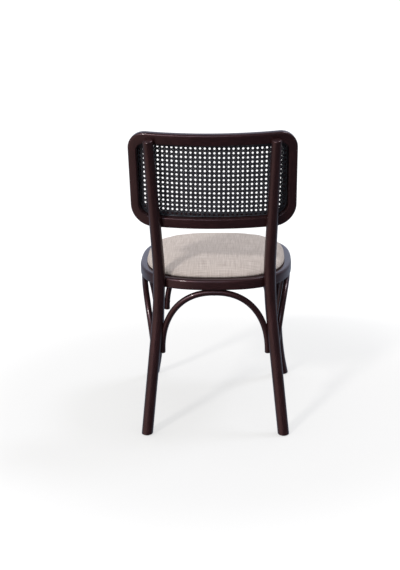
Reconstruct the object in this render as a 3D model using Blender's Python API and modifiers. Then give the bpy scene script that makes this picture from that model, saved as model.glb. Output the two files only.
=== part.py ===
"""Bentwood dining chair with a cane back and an upholstered seat.

Frame: metres, +Z up, the sitter faces -Y, +X is the sitter's left.
The origin is on the floor, at the centre of the chair's outline.
"""

import math

import bmesh
import bpy
import numpy as np
from mathutils import Matrix, Vector

# Fit between pieces
GAP = 0.0003
SCREW_CLEARANCE = 0.0003

# Seat ring, a bent wooden hoop with a rebate for the pad
SEAT_HALF_WIDTH = 0.2195
SEAT_REAR_REACH = 0.232
SEAT_FRONT_REACH = 0.2155
SEAT_WIDEST_Y = -0.0398
SEAT_REAR_SQUARENESS = 2.65
SEAT_FRONT_SQUARENESS = 2.95
RING_BOTTOM = 0.4125
RING_HEIGHT = 0.030
RING_RIM_WIDTH = 0.024
RING_LIP_WIDTH = 0.012
RING_LIP_HEIGHT = 0.013
RING_TOP_ROUNDING = 0.008
RING_BOTTOM_ROUNDING = 0.005
RING_INNER_BEVEL = 0.002

# Seat pad: plywood board, foam, fabric cover and dust cloth
BOARD_THICKNESS = 0.010
FABRIC_THICKNESS = 0.0015
COVER_HEM = 0.0032
PAD_CROWN = 0.037
PAD_CROWN_SQUARENESS = 2.6
DUST_CLOTH_THICKNESS = 0.001
DUST_CLOTH_LAP = 0.003

# Back frame and its cane, measured on the frame's curved middle surface
BACK_BEHIND_SEAT = 0.0216
BACK_CENTRE_Z = 0.7237
BACK_LEAN = math.radians(12.5)
BACK_CURVE_RADIUS = 0.8367
BACK_HALF_WIDTH = 0.2258
BACK_HEIGHT = 0.275
BACK_THICKNESS = 0.022
BACK_SIDE_RAIL = 0.025
BACK_CROSS_RAIL = 0.031
BACK_TOP_CORNER = 0.048
BACK_BOTTOM_CORNER = 0.061
BACK_OUTER_ROUNDING = 0.008
BACK_INNER_ROUNDING = 0.004
LIP_ROUNDING = 0.002
CANE_LIP_WIDTH = 0.010
CANE_LIP_THICKNESS = 0.004
CANE_THICKNESS = 0.0016
CANE_COLUMNS = 17
CANE_ROWS = 9
CANE_BAR_WIDTH = 0.006
REED_RADIUS = 0.0014

# Rear legs, each one bent piece from the foot to the top of the back
REAR_LEG_RADIUS = 0.016
REAR_LEG_SEAT_RADIUS = 0.017
UPRIGHT_TOP_RADIUS = 0.014
REAR_LEG_TAPER = 0.100
REAR_FOOT_INSET = 0.0269
REAR_FOOT_SPLAY = 0.0460
LEG_SEAT_INSET = 0.0695
LEG_COVE_IN_RING = 0.005
LEG_COVE_IN_BACK = 0.004
LOWER_BEND_Z = 0.350
LOWER_BEND_REACH = 0.040
UPPER_BEND_REACH = 0.055
UPRIGHT_BOTTOM_INSET = 0.0715
UPRIGHT_TOP_INSET = 0.0612
UPRIGHT_TOP_DROP = 0.029

# Front legs, tenoned into the ring
FRONT_LEG_RADIUS = 0.0153
FRONT_LEG_AXIS_INSET = 0.0145
FRONT_LEG_TOP_INSET = 0.0340
FRONT_BEND_INSET = 0.0313
FRONT_BEND_SETBACK = 0.0655
FRONT_BEND_Z = 0.100
FRONT_BEND_REACH = 0.070
FRONT_FOOT_INSET = 0.0135
FRONT_FOOT_SETBACK = 0.0413
TENON_RADIUS = 0.008
TENON_LENGTH = 0.018

# Arched braces between the legs
ARCH_RADIUS = 0.00875
REAR_ARCH_FOOT_Z = 0.2215
FRONT_ARCH_FOOT_Z = 0.2265
SIDE_ARCH_FOOT_Z = 0.2215
ARCH_CROWN_INSET = 0.0115
ARCH_SQUARENESS = 2.28
ARCH_SEAT_DEPTH = 0.001
REAR_ARCH_TURN = math.radians(220)
SIDE_ARCH_REAR_TURN = math.radians(285)
SIDE_ARCH_FRONT_TURN = math.radians(70)
SIDE_ARCH_CROWN_ANGLE = 9.0
FRONT_ARCH_TURN = math.radians(172)
ARCH_JOINT_Z = 0.2525

# Fasteners and glides
BACK_SCREW_RADIUS = 0.00225
BACK_SCREW_HEAD_RADIUS = 0.0042
BACK_SCREW_BITE = 0.010
UPPER_SCREW_RISE = 0.0065
ARCH_SCREW_RADIUS = 0.0019
ARCH_SCREW_HEAD_RADIUS = 0.0035
ARCH_SCREW_BITE = 0.012
SCREW_HEAD_HEIGHT = 0.0024
PLUG_RADIUS = 0.005
PLUG_LENGTH = 0.005
LEG_BOLT_RADIUS = 0.003
LEG_BOLT_HEAD_RADIUS = 0.0055
LEG_BOLT_HEAD_HEIGHT = 0.004
LEG_BOLT_PLUG_RADIUS = 0.0065
WASHER_RADIUS = 0.006
WASHER_THICKNESS = 0.0012
WASHER_CLEARANCE = 0.0010
NUT_RADIUS = 0.0058
NUT_HEIGHT = 0.005
BOLT_END = 0.003
SEAT_SCREW_RADIUS = 0.002
SEAT_SCREW_HEAD_RADIUS = 0.0038
SEAT_SCREW_BITE = 0.007
SEAT_SCREW_TURNS = (40, 140, 220, 320)
GLIDE_RADIUS = 0.011
GLIDE_EDGE = 0.001
GLIDE_HEIGHT = 0.0025
GLIDE_NAIL_RADIUS = 0.0015
GLIDE_NAIL_LENGTH = 0.014

# How far a hole's cutter runs out of the wood, towards the screwdriver
HOLE_APPROACH = 0.03

# Facets
SEAT_SEGMENTS = 48
LEG_SIDES_RESOLUTION = 5
ARCH_SIDES_RESOLUTION = 3
REED_RESOLUTION = 1
SCREW_STEPS = 8
GLIDE_STEPS = 12

SEAT_REAR_Y = SEAT_WIDEST_Y + SEAT_REAR_REACH
SEAT_FRONT_Y = SEAT_WIDEST_Y - SEAT_FRONT_REACH
BACK_CENTRE_Y = SEAT_REAR_Y + BACK_BEHIND_SEAT
UPRIGHT_BOTTOM_ACROSS = BACK_HALF_WIDTH - UPRIGHT_BOTTOM_INSET
UPRIGHT_TOP_ACROSS = BACK_HALF_WIDTH - UPRIGHT_TOP_INSET

RING_TOP = RING_BOTTOM + RING_HEIGHT
RING_WIDTH = RING_RIM_WIDTH + RING_LIP_WIDTH
REBATE_FLOOR = RING_BOTTOM + RING_LIP_HEIGHT

# How far the middle of a quarter round lies in from its corner, as a share of its radius
ARC_MIDDLE = 1 - math.sqrt(0.5)

SIDES = (("left", 1.0), ("right", -1.0))


def remove_everything():
    """Start from an empty scene."""
    for old in list(bpy.data.objects):
        bpy.data.objects.remove(old, do_unlink=True)


def new_collection(name):
    """Make a collection in the scene."""
    collection = bpy.data.collections.new(name)
    bpy.context.scene.collection.children.link(collection)
    return collection


remove_everything()
CHAIR = new_collection("cane_chair")
CUTTERS = new_collection("cutters")


def material(name, colour, roughness, metallic=0.0):
    """A Principled material with one plain colour."""
    made = bpy.data.materials.new(name)
    made.use_nodes = True
    shader = made.node_tree.nodes["Principled BSDF"]
    shader.inputs["Base Color"].default_value = (*colour, 1.0)
    shader.inputs["Roughness"].default_value = roughness
    shader.inputs["Metallic"].default_value = metallic
    made.diffuse_color = (*colour, 1.0)
    return made


DARK_WOOD = (0.028, 0.011, 0.008)
DARK_CANE = (0.016, 0.012, 0.011)
LINEN = (0.47, 0.40, 0.35)
PLYWOOD = (0.42, 0.29, 0.17)
FOAM = (0.80, 0.76, 0.60)
BLACK_CLOTH = (0.02, 0.02, 0.02)
STEEL = (0.45, 0.45, 0.46)
NYLON = (0.05, 0.04, 0.035)


def finish(obj, colour, roughness=0.4, metallic=0.0):
    """Give an object its own material and smooth shading with sharp edges kept."""
    obj.data.materials.clear()
    obj.data.materials.append(material(obj.name, colour, roughness, metallic))
    obj.data.shade_smooth()
    obj.data.set_sharp_from_angle(angle=math.radians(35))
    return obj


def add_mesh(name, mesh, collection=CHAIR):
    """Link a mesh as an object of the chair, or as a hidden cutter."""
    obj = bpy.data.objects.new(name, mesh)
    collection.objects.link(obj)
    if collection is CUTTERS:
        obj.hide_render = True
        obj.display_type = "WIRE"
    return obj


def face_outwards(shape):
    """Point every face of a closed bmesh away from its inside."""
    bmesh.ops.recalc_face_normals(shape, faces=shape.faces)
    if shape.calc_volume(signed=True) < 0.0:
        bmesh.ops.reverse_faces(shape, faces=shape.faces)


def from_bmesh(name, shape, collection=CHAIR):
    """Turn a bmesh into an object, with its faces pointing out."""
    face_outwards(shape)
    mesh = bpy.data.meshes.new(name)
    shape.to_mesh(mesh)
    shape.free()
    return add_mesh(name, mesh, collection)


def evaluated_mesh(obj):
    """The object's mesh with its modifiers or curve bevel worked in."""
    bpy.context.view_layer.update()
    graph = bpy.context.evaluated_depsgraph_get()
    return bpy.data.meshes.new_from_object(obj.evaluated_get(graph), depsgraph=graph)


def as_solid(obj, collection=CHAIR):
    """Replace a curve, or an object with modifiers, by a closed mesh in its place."""
    name = obj.name
    mesh = evaluated_mesh(obj)
    place = obj.matrix_world.copy()
    bpy.data.objects.remove(obj, do_unlink=True)
    shape = bmesh.new()
    shape.from_mesh(mesh)
    bmesh.ops.remove_doubles(shape, verts=shape.verts, dist=0.00001)
    solid = from_bmesh(name, shape, collection)
    solid.matrix_world = place
    return solid


def cut(obj, cutter):
    """Take the cutter's shape out of the object."""
    boolean = obj.modifiers.new("cut " + cutter.name, "BOOLEAN")
    boolean.operation = "DIFFERENCE"
    boolean.solver = "EXACT"
    boolean.object = cutter


def aim(obj, origin, direction):
    """Put an object at the origin given, with its own +Z along the direction."""
    obj.location = origin
    obj.rotation_mode = "QUATERNION"
    obj.rotation_quaternion = Vector(direction).to_track_quat("Z", "Y")
    return obj


def cylinder(name, radius, length, origin, direction, collection=CHAIR, sides=12):
    """A cylinder that starts at the origin given and runs along the direction."""
    shape = bmesh.new()
    bmesh.ops.create_cone(
        shape, cap_ends=True, segments=sides, radius1=radius, radius2=radius, depth=length,
        matrix=Matrix.Translation((0.0, 0.0, length / 2)),
    )
    return aim(from_bmesh(name, shape, collection), origin, direction)


def turned(name, profile, origin, direction, steps=SCREW_STEPS):
    """A turned piece: (radius, height) points from the lower centre to the upper centre."""
    mesh = bpy.data.meshes.new(name)
    points = [(radius, 0.0, height) for radius, height in reversed(profile)]
    mesh.from_pydata(points, [(i, i + 1) for i in range(len(points) - 1)], [])
    obj = add_mesh(name, mesh)
    screw = obj.modifiers.new("turn", "SCREW")
    screw.axis = "Z"
    screw.steps = steps
    screw.render_steps = steps
    screw.use_merge_vertices = True
    screw.merge_threshold = 0.00001
    return aim(as_solid(obj), origin, direction)


def tube(name, path, radii, resolution, collection=CHAIR, extra=0.0, cyclic=False):
    """A round bar along a path, with a radius at each point."""
    curve = bpy.data.curves.new(name, "CURVE")
    curve.dimensions = "3D"
    curve.bevel_depth = 1.0
    curve.bevel_resolution = resolution
    curve.use_fill_caps = not cyclic
    spline = curve.splines.new("POLY")
    spline.points.add(len(path) - 1)
    spline.use_cyclic_u = cyclic
    for point, place, radius in zip(spline.points, path, radii):
        point.co = (*place, 1.0)
        point.radius = radius + extra
    obj = bpy.data.objects.new(name, curve)
    collection.objects.link(obj)
    return as_solid(obj, collection)


def loft(name, loops, collection=CHAIR, cyclic=False, caps=True):
    """A skin over loops of equal point counts, closed at its ends or round to the start."""
    shape = bmesh.new()
    rings = [[shape.verts.new(point) for point in loop] for loop in loops]
    pairs = list(zip(rings, rings[1:]))
    if cyclic:
        pairs.append((rings[-1], rings[0]))
    for near, far in pairs:
        for i in range(len(near)):
            j = (i + 1) % len(near)
            shape.faces.new((near[i], near[j], far[j], far[i]))
    if caps and not cyclic:
        shape.faces.new(rings[0])
        shape.faces.new(rings[-1])
    return from_bmesh(name, shape, collection)


def bent_path(corners, reaches, bend_steps=5, straight_steps=2):
    """Straight runs joined by long bends: reach is how far a bend runs each side of its corner."""
    corners = [Vector(corner) for corner in corners]
    path = [corners[0]]
    for before, corner, after, reach in zip(corners, corners[1:], corners[2:], reaches):
        start = corner + (before - corner).normalized() * reach
        end = corner + (after - corner).normalized() * reach
        last = path[-1]
        for i in range(1, straight_steps):
            path.append(last.lerp(start, i / straight_steps))
        for i in range(bend_steps + 1):
            t = i / bend_steps
            path.append(start * (1 - t) ** 2 + corner * 2 * t * (1 - t) + end * t ** 2)
    last = path[-1]
    for i in range(1, straight_steps + 1):
        path.append(last.lerp(corners[-1], i / straight_steps))
    return path


def at_height(path, height):
    """The place on a path at the height given, and the path's direction there."""
    for low, high in zip(path, path[1:]):
        if (low.z - height) * (high.z - height) <= 0.0 and low.z != high.z:
            share = (height - low.z) / (high.z - low.z)
            return low.lerp(high, share), (high - low).normalized()
    raise ValueError("the path does not reach that height")


def seat_outline(turn, inset=0.0):
    """A point on the ring's outer edge, moved inwards, with its outward direction.

    The turn is in degrees from +X, and the plan is a superellipse.
    """
    c = math.cos(math.radians(turn))
    s = math.sin(math.radians(turn))
    reach = SEAT_REAR_REACH if s > 0 else SEAT_FRONT_REACH
    power = SEAT_REAR_SQUARENESS if s > 0 else SEAT_FRONT_SQUARENESS
    scale = (abs(c / SEAT_HALF_WIDTH) ** power + abs(s / reach) ** power) ** (-1 / power)
    x = scale * c
    y = scale * s
    out = Vector((
        math.copysign(abs(x) ** (power - 1) / SEAT_HALF_WIDTH ** power, x),
        math.copysign(abs(y) ** (power - 1) / reach ** power, y),
        0.0,
    )).normalized()
    return Vector((x, y + SEAT_WIDEST_Y, 0.0)) - out * inset, out


def turn_at_x(x, rear):
    """The turn, in degrees, at which the ring's outer edge has the x given."""
    low, high = (0.0, 90.0) if rear else (-90.0, 0.0)
    for _ in range(60):
        middle = (low + high) / 2
        wider = seat_outline(middle)[0].x > x
        if rear == wider:
            low = middle
        else:
            high = middle
    return low


def seat_loop(inset, height, count=SEAT_SEGMENTS):
    """A level loop inside the ring's outer edge."""
    loop = []
    for i in range(count):
        point, _ = seat_outline(360.0 * i / count, inset)
        loop.append((point.x, point.y, height))
    return loop


def back_point(across, up, behind=0.0):
    """A place on the back: along its curve, up its slope, and behind its middle surface."""
    angle = across / BACK_CURVE_RADIUS
    radius = BACK_CURVE_RADIUS + behind
    sideways = radius * math.sin(angle)
    backwards = radius * math.cos(angle) - BACK_CURVE_RADIUS
    y = BACK_CENTRE_Y + backwards * math.cos(BACK_LEAN) + up * math.sin(BACK_LEAN)
    z = BACK_CENTRE_Z - backwards * math.sin(BACK_LEAN) + up * math.cos(BACK_LEAN)
    return Vector((sideways, y, z))


def mirrored(point, side):
    """The point on the side given, where 1 is the sitter's left and -1 the right."""
    return Vector((point[0] * side, point[1], point[2]))


def rear_leg_path():
    """The left rear leg's centre line, from the foot to the top of the upright."""
    turn = turn_at_x(SEAT_HALF_WIDTH - LEG_SEAT_INSET, rear=True)
    edge, out = seat_outline(turn)
    seat = edge + out * (REAR_LEG_SEAT_RADIUS - LEG_COVE_IN_RING)
    behind = BACK_THICKNESS / 2 - LEG_COVE_IN_BACK
    half = BACK_HEIGHT / 2
    low = back_point(UPRIGHT_BOTTOM_ACROSS, -half, behind + REAR_LEG_RADIUS)
    top = back_point(UPRIGHT_TOP_ACROSS, half - UPRIGHT_TOP_DROP, behind + UPRIGHT_TOP_RADIUS)
    upper_bend = low.lerp(top, (seat.y - low.y) / (top.y - low.y))
    lower_bend = Vector((seat.x, seat.y, LOWER_BEND_Z))
    foot = Vector((SEAT_HALF_WIDTH - REAR_FOOT_INSET, SEAT_REAR_Y + REAR_FOOT_SPLAY, GLIDE_HEIGHT))
    below = foot + (foot - lower_bend).normalized() * REAR_LEG_RADIUS
    path = bent_path((below, lower_bend, upper_bend, top), (LOWER_BEND_REACH, UPPER_BEND_REACH))
    return path, foot, seat, out


def rear_leg_radius(height):
    """The rear leg is thickest at the seat and thins towards the top."""
    top = back_point(0.0, BACK_HEIGHT / 2)[2]
    heights = (0.0, RING_BOTTOM - REAR_LEG_TAPER, RING_TOP, BACK_CENTRE_Z - BACK_HEIGHT / 2, top)
    sizes = (REAR_LEG_RADIUS, REAR_LEG_RADIUS, REAR_LEG_SEAT_RADIUS, REAR_LEG_RADIUS, UPRIGHT_TOP_RADIUS)
    return float(np.interp(height, heights, sizes))


def with_dome(path, radii, steps=4):
    """Round the path's last end over into a dome."""
    end = path[-1]
    along = (path[-1] - path[-2]).normalized()
    size = radii[-1]
    domed = list(path)
    sizes = list(radii)
    for i in range(1, steps + 1):
        angle = math.radians(84) * i / steps
        domed.append(end + along * size * math.sin(angle))
        sizes.append(size * math.cos(angle))
    return domed, sizes


def front_leg_path():
    """The left front leg's centre line, from the foot to the ring's underside."""
    turn = turn_at_x(SEAT_HALF_WIDTH - FRONT_LEG_TOP_INSET, rear=False)
    top, _ = seat_outline(turn, FRONT_LEG_AXIS_INSET)
    top.z = RING_BOTTOM
    bend = Vector((SEAT_HALF_WIDTH - FRONT_BEND_INSET, SEAT_FRONT_Y + FRONT_BEND_SETBACK, FRONT_BEND_Z))
    foot = Vector((SEAT_HALF_WIDTH - FRONT_FOOT_INSET, SEAT_FRONT_Y + FRONT_FOOT_SETBACK, GLIDE_HEIGHT))
    below = foot + (foot - bend).normalized() * FRONT_LEG_RADIUS
    return bent_path((below, bend, top), (FRONT_BEND_REACH,)), foot, top


REAR_PATH, REAR_FOOT, REAR_SEAT, REAR_OUT = rear_leg_path()
FRONT_PATH, FRONT_FOOT, FRONT_TOP = front_leg_path()


def beside(path, radius, turn, side, height):
    """Where an arch's centre line meets a leg: its place, and the way to the leg.

    The turn is the level direction from the leg to the arch, from the sitter's left (+X).
    """
    axis, _ = at_height(path, height)
    away = Vector((math.cos(turn), math.sin(turn), 0.0))
    place = axis + away * (radius + ARCH_RADIUS - ARCH_SEAT_DEPTH)
    return mirrored(place, side), mirrored(-away, side)


def arch_path(start, end, crown, foot, steps=16):
    """A rounded arch standing on the start and end places, bowed out under the seat ring."""
    middle = (start + end) / 2
    half_span = (start - end) / 2
    bow = crown - middle
    path = []
    for i in range(steps + 1):
        turn = math.pi * i / steps
        along = math.copysign(abs(math.cos(turn)) ** (2 / ARCH_SQUARENESS), math.cos(turn))
        rise = math.sin(turn) ** (2 / ARCH_SQUARENESS) if 0 < i < steps else 0.0
        place = middle + half_span * along + bow * rise ** 1.5
        place.z = foot + (crown.z - foot) * rise
        path.append(place)
    return path


def arch_crown(turn):
    """The top of an arch's centre line, under the ring."""
    place, _ = seat_outline(turn, ARCH_CROWN_INSET)
    place.z = RING_BOTTOM - GAP - ARCH_RADIUS
    return place


def screw(name, head, direction, length, shank, head_radius, head_height=SCREW_HEAD_HEIGHT):
    """A round-headed screw or bolt: the head's face lies at the place given."""
    profile = (
        (0.0, 0.0),
        (head_radius * 0.75, 0.0),
        (head_radius, head_height * 0.4),
        (head_radius, head_height),
        (shank, head_height),
        (shank, length - shank),
        (0.0, length),
    )
    return finish(turned(name, profile, head, direction), STEEL, 0.3, 1.0)


def screw_hole(name, head, direction, length, shank, counterbore, seat_depth):
    """The hole for a screw: a counterbore down to its head's seat, then a clear shank."""
    profile = (
        (0.0, -HOLE_APPROACH),
        (counterbore + SCREW_CLEARANCE, -HOLE_APPROACH),
        (counterbore + SCREW_CLEARANCE, seat_depth + GAP),
        (shank + SCREW_CLEARANCE, seat_depth + GAP),
        (shank + SCREW_CLEARANCE, length + GAP),
        (0.0, length + GAP),
    )
    hole = turned(name, profile, head, direction)
    CHAIR.objects.unlink(hole)
    CUTTERS.objects.link(hole)
    hole.hide_render = True
    hole.display_type = "WIRE"
    return hole


def slab(name, low, high):
    """A box-shaped cutter between two corners."""
    shape = bmesh.new()
    bmesh.ops.create_cube(shape, size=1.0)
    for vert in shape.verts:
        for axis in range(3):
            middle = (low[axis] + high[axis]) / 2
            vert.co[axis] = middle + vert.co[axis] * (high[axis] - low[axis])
    return from_bmesh(name, shape, CUTTERS)


def flat_plate(name, outline, bottom, thickness):
    """A level plate with the outline given, made as a filled curve."""
    curve = bpy.data.curves.new(name, "CURVE")
    curve.dimensions = "2D"
    curve.fill_mode = "BOTH"
    curve.extrude = thickness / 2
    spline = curve.splines.new("POLY")
    spline.points.add(len(outline) - 1)
    spline.use_cyclic_u = True
    for point, place in zip(spline.points, outline):
        point.co = (place[0], place[1], 0.0, 1.0)
    obj = bpy.data.objects.new(name, curve)
    CHAIR.objects.link(obj)
    obj.location.z = bottom + thickness / 2
    return as_solid(obj)


def swept_ring(name, path, profile):
    """A closed bar with the profile given, swept round a level path."""
    section = bpy.data.curves.new(name + " profile", "CURVE")
    section.dimensions = "2D"
    outline = section.splines.new("POLY")
    outline.points.add(len(profile) - 1)
    outline.use_cyclic_u = True
    for point, place in zip(outline.points, profile):
        point.co = (*place, 0.0, 1.0)
    shape = bpy.data.objects.new(name + " profile", section)
    CUTTERS.objects.link(shape)
    curve = bpy.data.curves.new(name, "CURVE")
    curve.dimensions = "3D"
    curve.twist_mode = "Z_UP"
    curve.bevel_mode = "OBJECT"
    curve.bevel_object = shape
    spline = curve.splines.new("POLY")
    spline.points.add(len(path) - 1)
    spline.use_cyclic_u = True
    for point, place in zip(spline.points, path):
        point.co = (*place, 1.0)
    obj = bpy.data.objects.new(name, curve)
    CHAIR.objects.link(obj)
    solid = as_solid(obj)
    bpy.data.objects.remove(shape, do_unlink=True)
    return solid


def make_seat_ring():
    """The bent ring: rounded outside, with a rebate inside for the pad."""
    half = RING_WIDTH / 2
    top = RING_TOP_ROUNDING
    low = RING_BOTTOM_ROUNDING
    profile = (
        (half, low),
        (half, RING_HEIGHT - top),
        (half - top * ARC_MIDDLE, RING_HEIGHT - top * ARC_MIDDLE),
        (half - top, RING_HEIGHT),
        (half - RING_RIM_WIDTH + RING_INNER_BEVEL, RING_HEIGHT),
        (half - RING_RIM_WIDTH, RING_HEIGHT - RING_INNER_BEVEL),
        (half - RING_RIM_WIDTH, RING_LIP_HEIGHT),
        (-half, RING_LIP_HEIGHT),
        (-half, RING_INNER_BEVEL),
        (RING_INNER_BEVEL - half, 0.0),
        (half - low, 0.0),
        (half - low * ARC_MIDDLE, low * ARC_MIDDLE),
    )
    path = [
        (point.x, point.y, RING_BOTTOM)
        for point, _ in (seat_outline(360.0 * i / SEAT_SEGMENTS, half) for i in range(SEAT_SEGMENTS))
    ]
    return finish(swept_ring("seat_ring", path, profile), DARK_WOOD)


def plan_scaled(loop, share):
    """Draw a loop in towards the middle of the seat."""
    return [(x * share, SEAT_WIDEST_Y + (y - SEAT_WIDEST_Y) * share) for x, y, _ in loop]


CROWN_SHARES = (1.0, 0.99, 0.97, 0.935, 0.88, 0.79, 0.66, 0.5, 0.31, 0.12)


def crowned_loops(inset, base, crown, shares=CROWN_SHARES):
    """Loops from the pad's edge to near its middle, over a rounded shoulder and a low crown."""
    edge = seat_loop(inset, base)
    loops = []
    for share in shares:
        rise = crown * (1 - share ** PAD_CROWN_SQUARENESS) ** (1 / PAD_CROWN_SQUARENESS)
        loops.append([(x, y, base + rise) for x, y in plan_scaled(edge, share)])
    return loops


COVER_INSET = RING_RIM_WIDTH + GAP
BOARD_INSET = COVER_INSET + FABRIC_THICKNESS + GAP
BOARD_BOTTOM = REBATE_FLOOR + GAP + FABRIC_THICKNESS + GAP
BOARD_TOP = BOARD_BOTTOM + BOARD_THICKNESS


def make_seat_pad():
    """Plywood board, foam block, fabric cover turned in under the board, and a dust cloth."""
    board = flat_plate("seat_board", seat_loop(BOARD_INSET, 0.0), BOARD_BOTTOM, BOARD_THICKNESS)
    finish(board, PLYWOOD, 0.7)

    foam_top = FABRIC_THICKNESS + 4 * GAP
    foam_loops = [seat_loop(BOARD_INSET, BOARD_TOP + GAP)]
    foam_loops += crowned_loops(BOARD_INSET, RING_TOP, PAD_CROWN - foam_top, CROWN_SHARES[::2])
    finish(loft("seat_foam", foam_loops), FOAM, 0.9)

    floor = REBATE_FLOOR + GAP
    corner = FABRIC_THICKNESS / 2
    loops = [
        seat_loop(COVER_INSET + COVER_HEM, floor),
        seat_loop(COVER_INSET + corner, floor),
        seat_loop(COVER_INSET, floor + corner),
    ]
    loops += crowned_loops(COVER_INSET, RING_TOP, PAD_CROWN)
    cover = loft("seat_cover", loops, caps=False)
    shape = bmesh.new()
    shape.from_mesh(cover.data)
    top_edges = [edge for edge in shape.edges if edge.is_boundary and edge.verts[0].co.z > RING_TOP]
    bmesh.ops.edgeloop_fill(shape, edges=top_edges)
    bmesh.ops.recalc_face_normals(shape, faces=shape.faces)
    shape.to_mesh(cover.data)
    shape.free()
    shell = cover.modifiers.new("fabric", "SOLIDIFY")
    shell.thickness = FABRIC_THICKNESS
    shell.offset = -1.0
    shell.use_even_offset = True
    finish(cover, LINEN, 0.95)

    inset = RING_WIDTH - DUST_CLOTH_LAP
    bottom = BOARD_BOTTOM - GAP - DUST_CLOTH_THICKNESS
    cloth = flat_plate("seat_dust_cloth", seat_loop(inset, 0.0), bottom, DUST_CLOTH_THICKNESS)
    finish(cloth, BLACK_CLOTH, 0.95)
    return board


def rounded_outline(half_width, half_height, top_corner, bottom_corner):
    """A rounded rectangle as (across, up) points, with its straight runs divided for bending."""
    corners = (
        (1, 1, top_corner, 0.0),
        (-1, 1, top_corner, 90.0),
        (-1, -1, bottom_corner, 180.0),
        (1, -1, bottom_corner, 270.0),
    )
    runs = (14, 3, 14, 3)
    arc_steps = 6
    points = []
    for (sx, sy, radius, start), steps in zip(corners, runs):
        centre = (sx * (half_width - radius), sy * (half_height - radius))
        for i in range(arc_steps + 1):
            turn = math.radians(start + 90.0 * i / arc_steps)
            points.append((centre[0] + radius * math.cos(turn), centre[1] + radius * math.sin(turn)))
        after = corners[(corners.index((sx, sy, radius, start)) + 1) % 4]
        turn = math.radians(after[3])
        ahead = (
            after[0] * (half_width - after[2]) + after[2] * math.cos(turn),
            after[1] * (half_height - after[2]) + after[2] * math.sin(turn),
        )
        here = points[-1]
        for i in range(1, steps):
            share = i / steps
            points.append((here[0] + (ahead[0] - here[0]) * share, here[1] + (ahead[1] - here[1]) * share))
    return points


def opening_outline(grow=0.0):
    """The back frame's inner opening, grown outwards by the amount given."""
    return rounded_outline(
        BACK_HALF_WIDTH - BACK_SIDE_RAIL + grow,
        BACK_HEIGHT / 2 - BACK_CROSS_RAIL + grow,
        BACK_TOP_CORNER - BACK_SIDE_RAIL + grow,
        BACK_BOTTOM_CORNER - BACK_SIDE_RAIL + grow,
    )


def outer_outline(shrink):
    """The back frame's outer edge, drawn in by the amount given."""
    return rounded_outline(
        BACK_HALF_WIDTH - shrink,
        BACK_HEIGHT / 2 - shrink,
        BACK_TOP_CORNER - shrink,
        BACK_BOTTOM_CORNER - shrink,
    )


def make_back_frame():
    """The curved, leaning frame: rounded rails round an opening, with a thin lip in front."""
    half = BACK_THICKNESS / 2
    big = BACK_OUTER_ROUNDING
    small = BACK_INNER_ROUNDING
    seat = CANE_LIP_THICKNESS - half
    section = (
        (outer_outline, big, half),
        (outer_outline, big * ARC_MIDDLE, half - big * ARC_MIDDLE),
        (outer_outline, 0.0, half - big),
        (outer_outline, 0.0, big - half),
        (outer_outline, big * ARC_MIDDLE, big * ARC_MIDDLE - half),
        (outer_outline, big, -half),
        (opening_outline, LIP_ROUNDING - CANE_LIP_WIDTH, -half),
        (opening_outline, -CANE_LIP_WIDTH, LIP_ROUNDING - half),
        (opening_outline, -CANE_LIP_WIDTH, seat),
        (opening_outline, 0.0, seat),
        (opening_outline, 0.0, half - small),
        (opening_outline, small * ARC_MIDDLE, half - small * ARC_MIDDLE),
        (opening_outline, small, half),
    )
    lines = []
    for outline, distance, behind in section:
        lines.append([back_point(across, up, behind) for across, up in outline(distance)])
    return finish(loft("back_frame", list(zip(*lines)), cyclic=True), DARK_WOOD)


def bend_to_back(obj, behind):
    """Lay a flat object, modelled in across and up, on the back's curve."""
    solid = as_solid(obj)
    shape = bmesh.new()
    shape.from_mesh(solid.data)
    for vert in shape.verts:
        vert.co = back_point(vert.co.x, vert.co.y, behind + vert.co.z)
    face_outwards(shape)
    shape.to_mesh(solid.data)
    shape.free()
    return solid


def make_cane():
    """The cane webbing as a net laid on the frame's lip, and the reed that holds it down."""
    seat = CANE_LIP_THICKNESS - BACK_THICKNESS / 2
    width = 2 * (BACK_HALF_WIDTH - BACK_SIDE_RAIL - GAP) + CANE_BAR_WIDTH / 2
    height = 2 * (BACK_HEIGHT / 2 - BACK_CROSS_RAIL - GAP) + CANE_BAR_WIDTH / 2
    shape = bmesh.new()
    bmesh.ops.create_grid(shape, x_segments=CANE_COLUMNS, y_segments=CANE_ROWS, size=0.5)
    for vert in shape.verts:
        vert.co.x *= width
        vert.co.y *= height
    gaps = list(shape.faces)
    bmesh.ops.inset_individual(shape, faces=gaps, thickness=CANE_BAR_WIDTH / 2, use_even_offset=True)
    bmesh.ops.delete(shape, geom=gaps, context="FACES")
    net = from_bmesh("cane_webbing", shape)
    thick = net.modifiers.new("thickness", "SOLIDIFY")
    thick.thickness = CANE_THICKNESS
    thick.offset = 0.0
    prism = bpy.data.curves.new("webbing outline", "CURVE")
    prism.dimensions = "2D"
    prism.fill_mode = "BOTH"
    prism.extrude = 4 * CANE_THICKNESS
    outline = opening_outline(-GAP)
    spline = prism.splines.new("POLY")
    spline.points.add(len(outline) - 1)
    spline.use_cyclic_u = True
    for point, place in zip(spline.points, outline):
        point.co = (*place, 0.0, 1.0)
    keeper = bpy.data.objects.new("webbing outline", prism)
    CUTTERS.objects.link(keeper)
    keeper = as_solid(keeper, CUTTERS)
    trim = net.modifiers.new("trim to the opening", "BOOLEAN")
    trim.operation = "INTERSECT"
    trim.solver = "EXACT"
    trim.object = keeper
    net = bend_to_back(net, seat + GAP + CANE_THICKNESS / 2)
    finish(net, DARK_CANE, 0.6)

    reed_behind = seat + GAP + CANE_THICKNESS + GAP + REED_RADIUS
    reed_line = opening_outline(-GAP - REED_RADIUS)
    path = [back_point(across, up, reed_behind) for across, up in reed_line]
    reed = tube("cane_reed", path, [REED_RADIUS] * len(path), REED_RESOLUTION, cyclic=True)
    finish(reed, DARK_CANE, 0.5)


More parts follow.
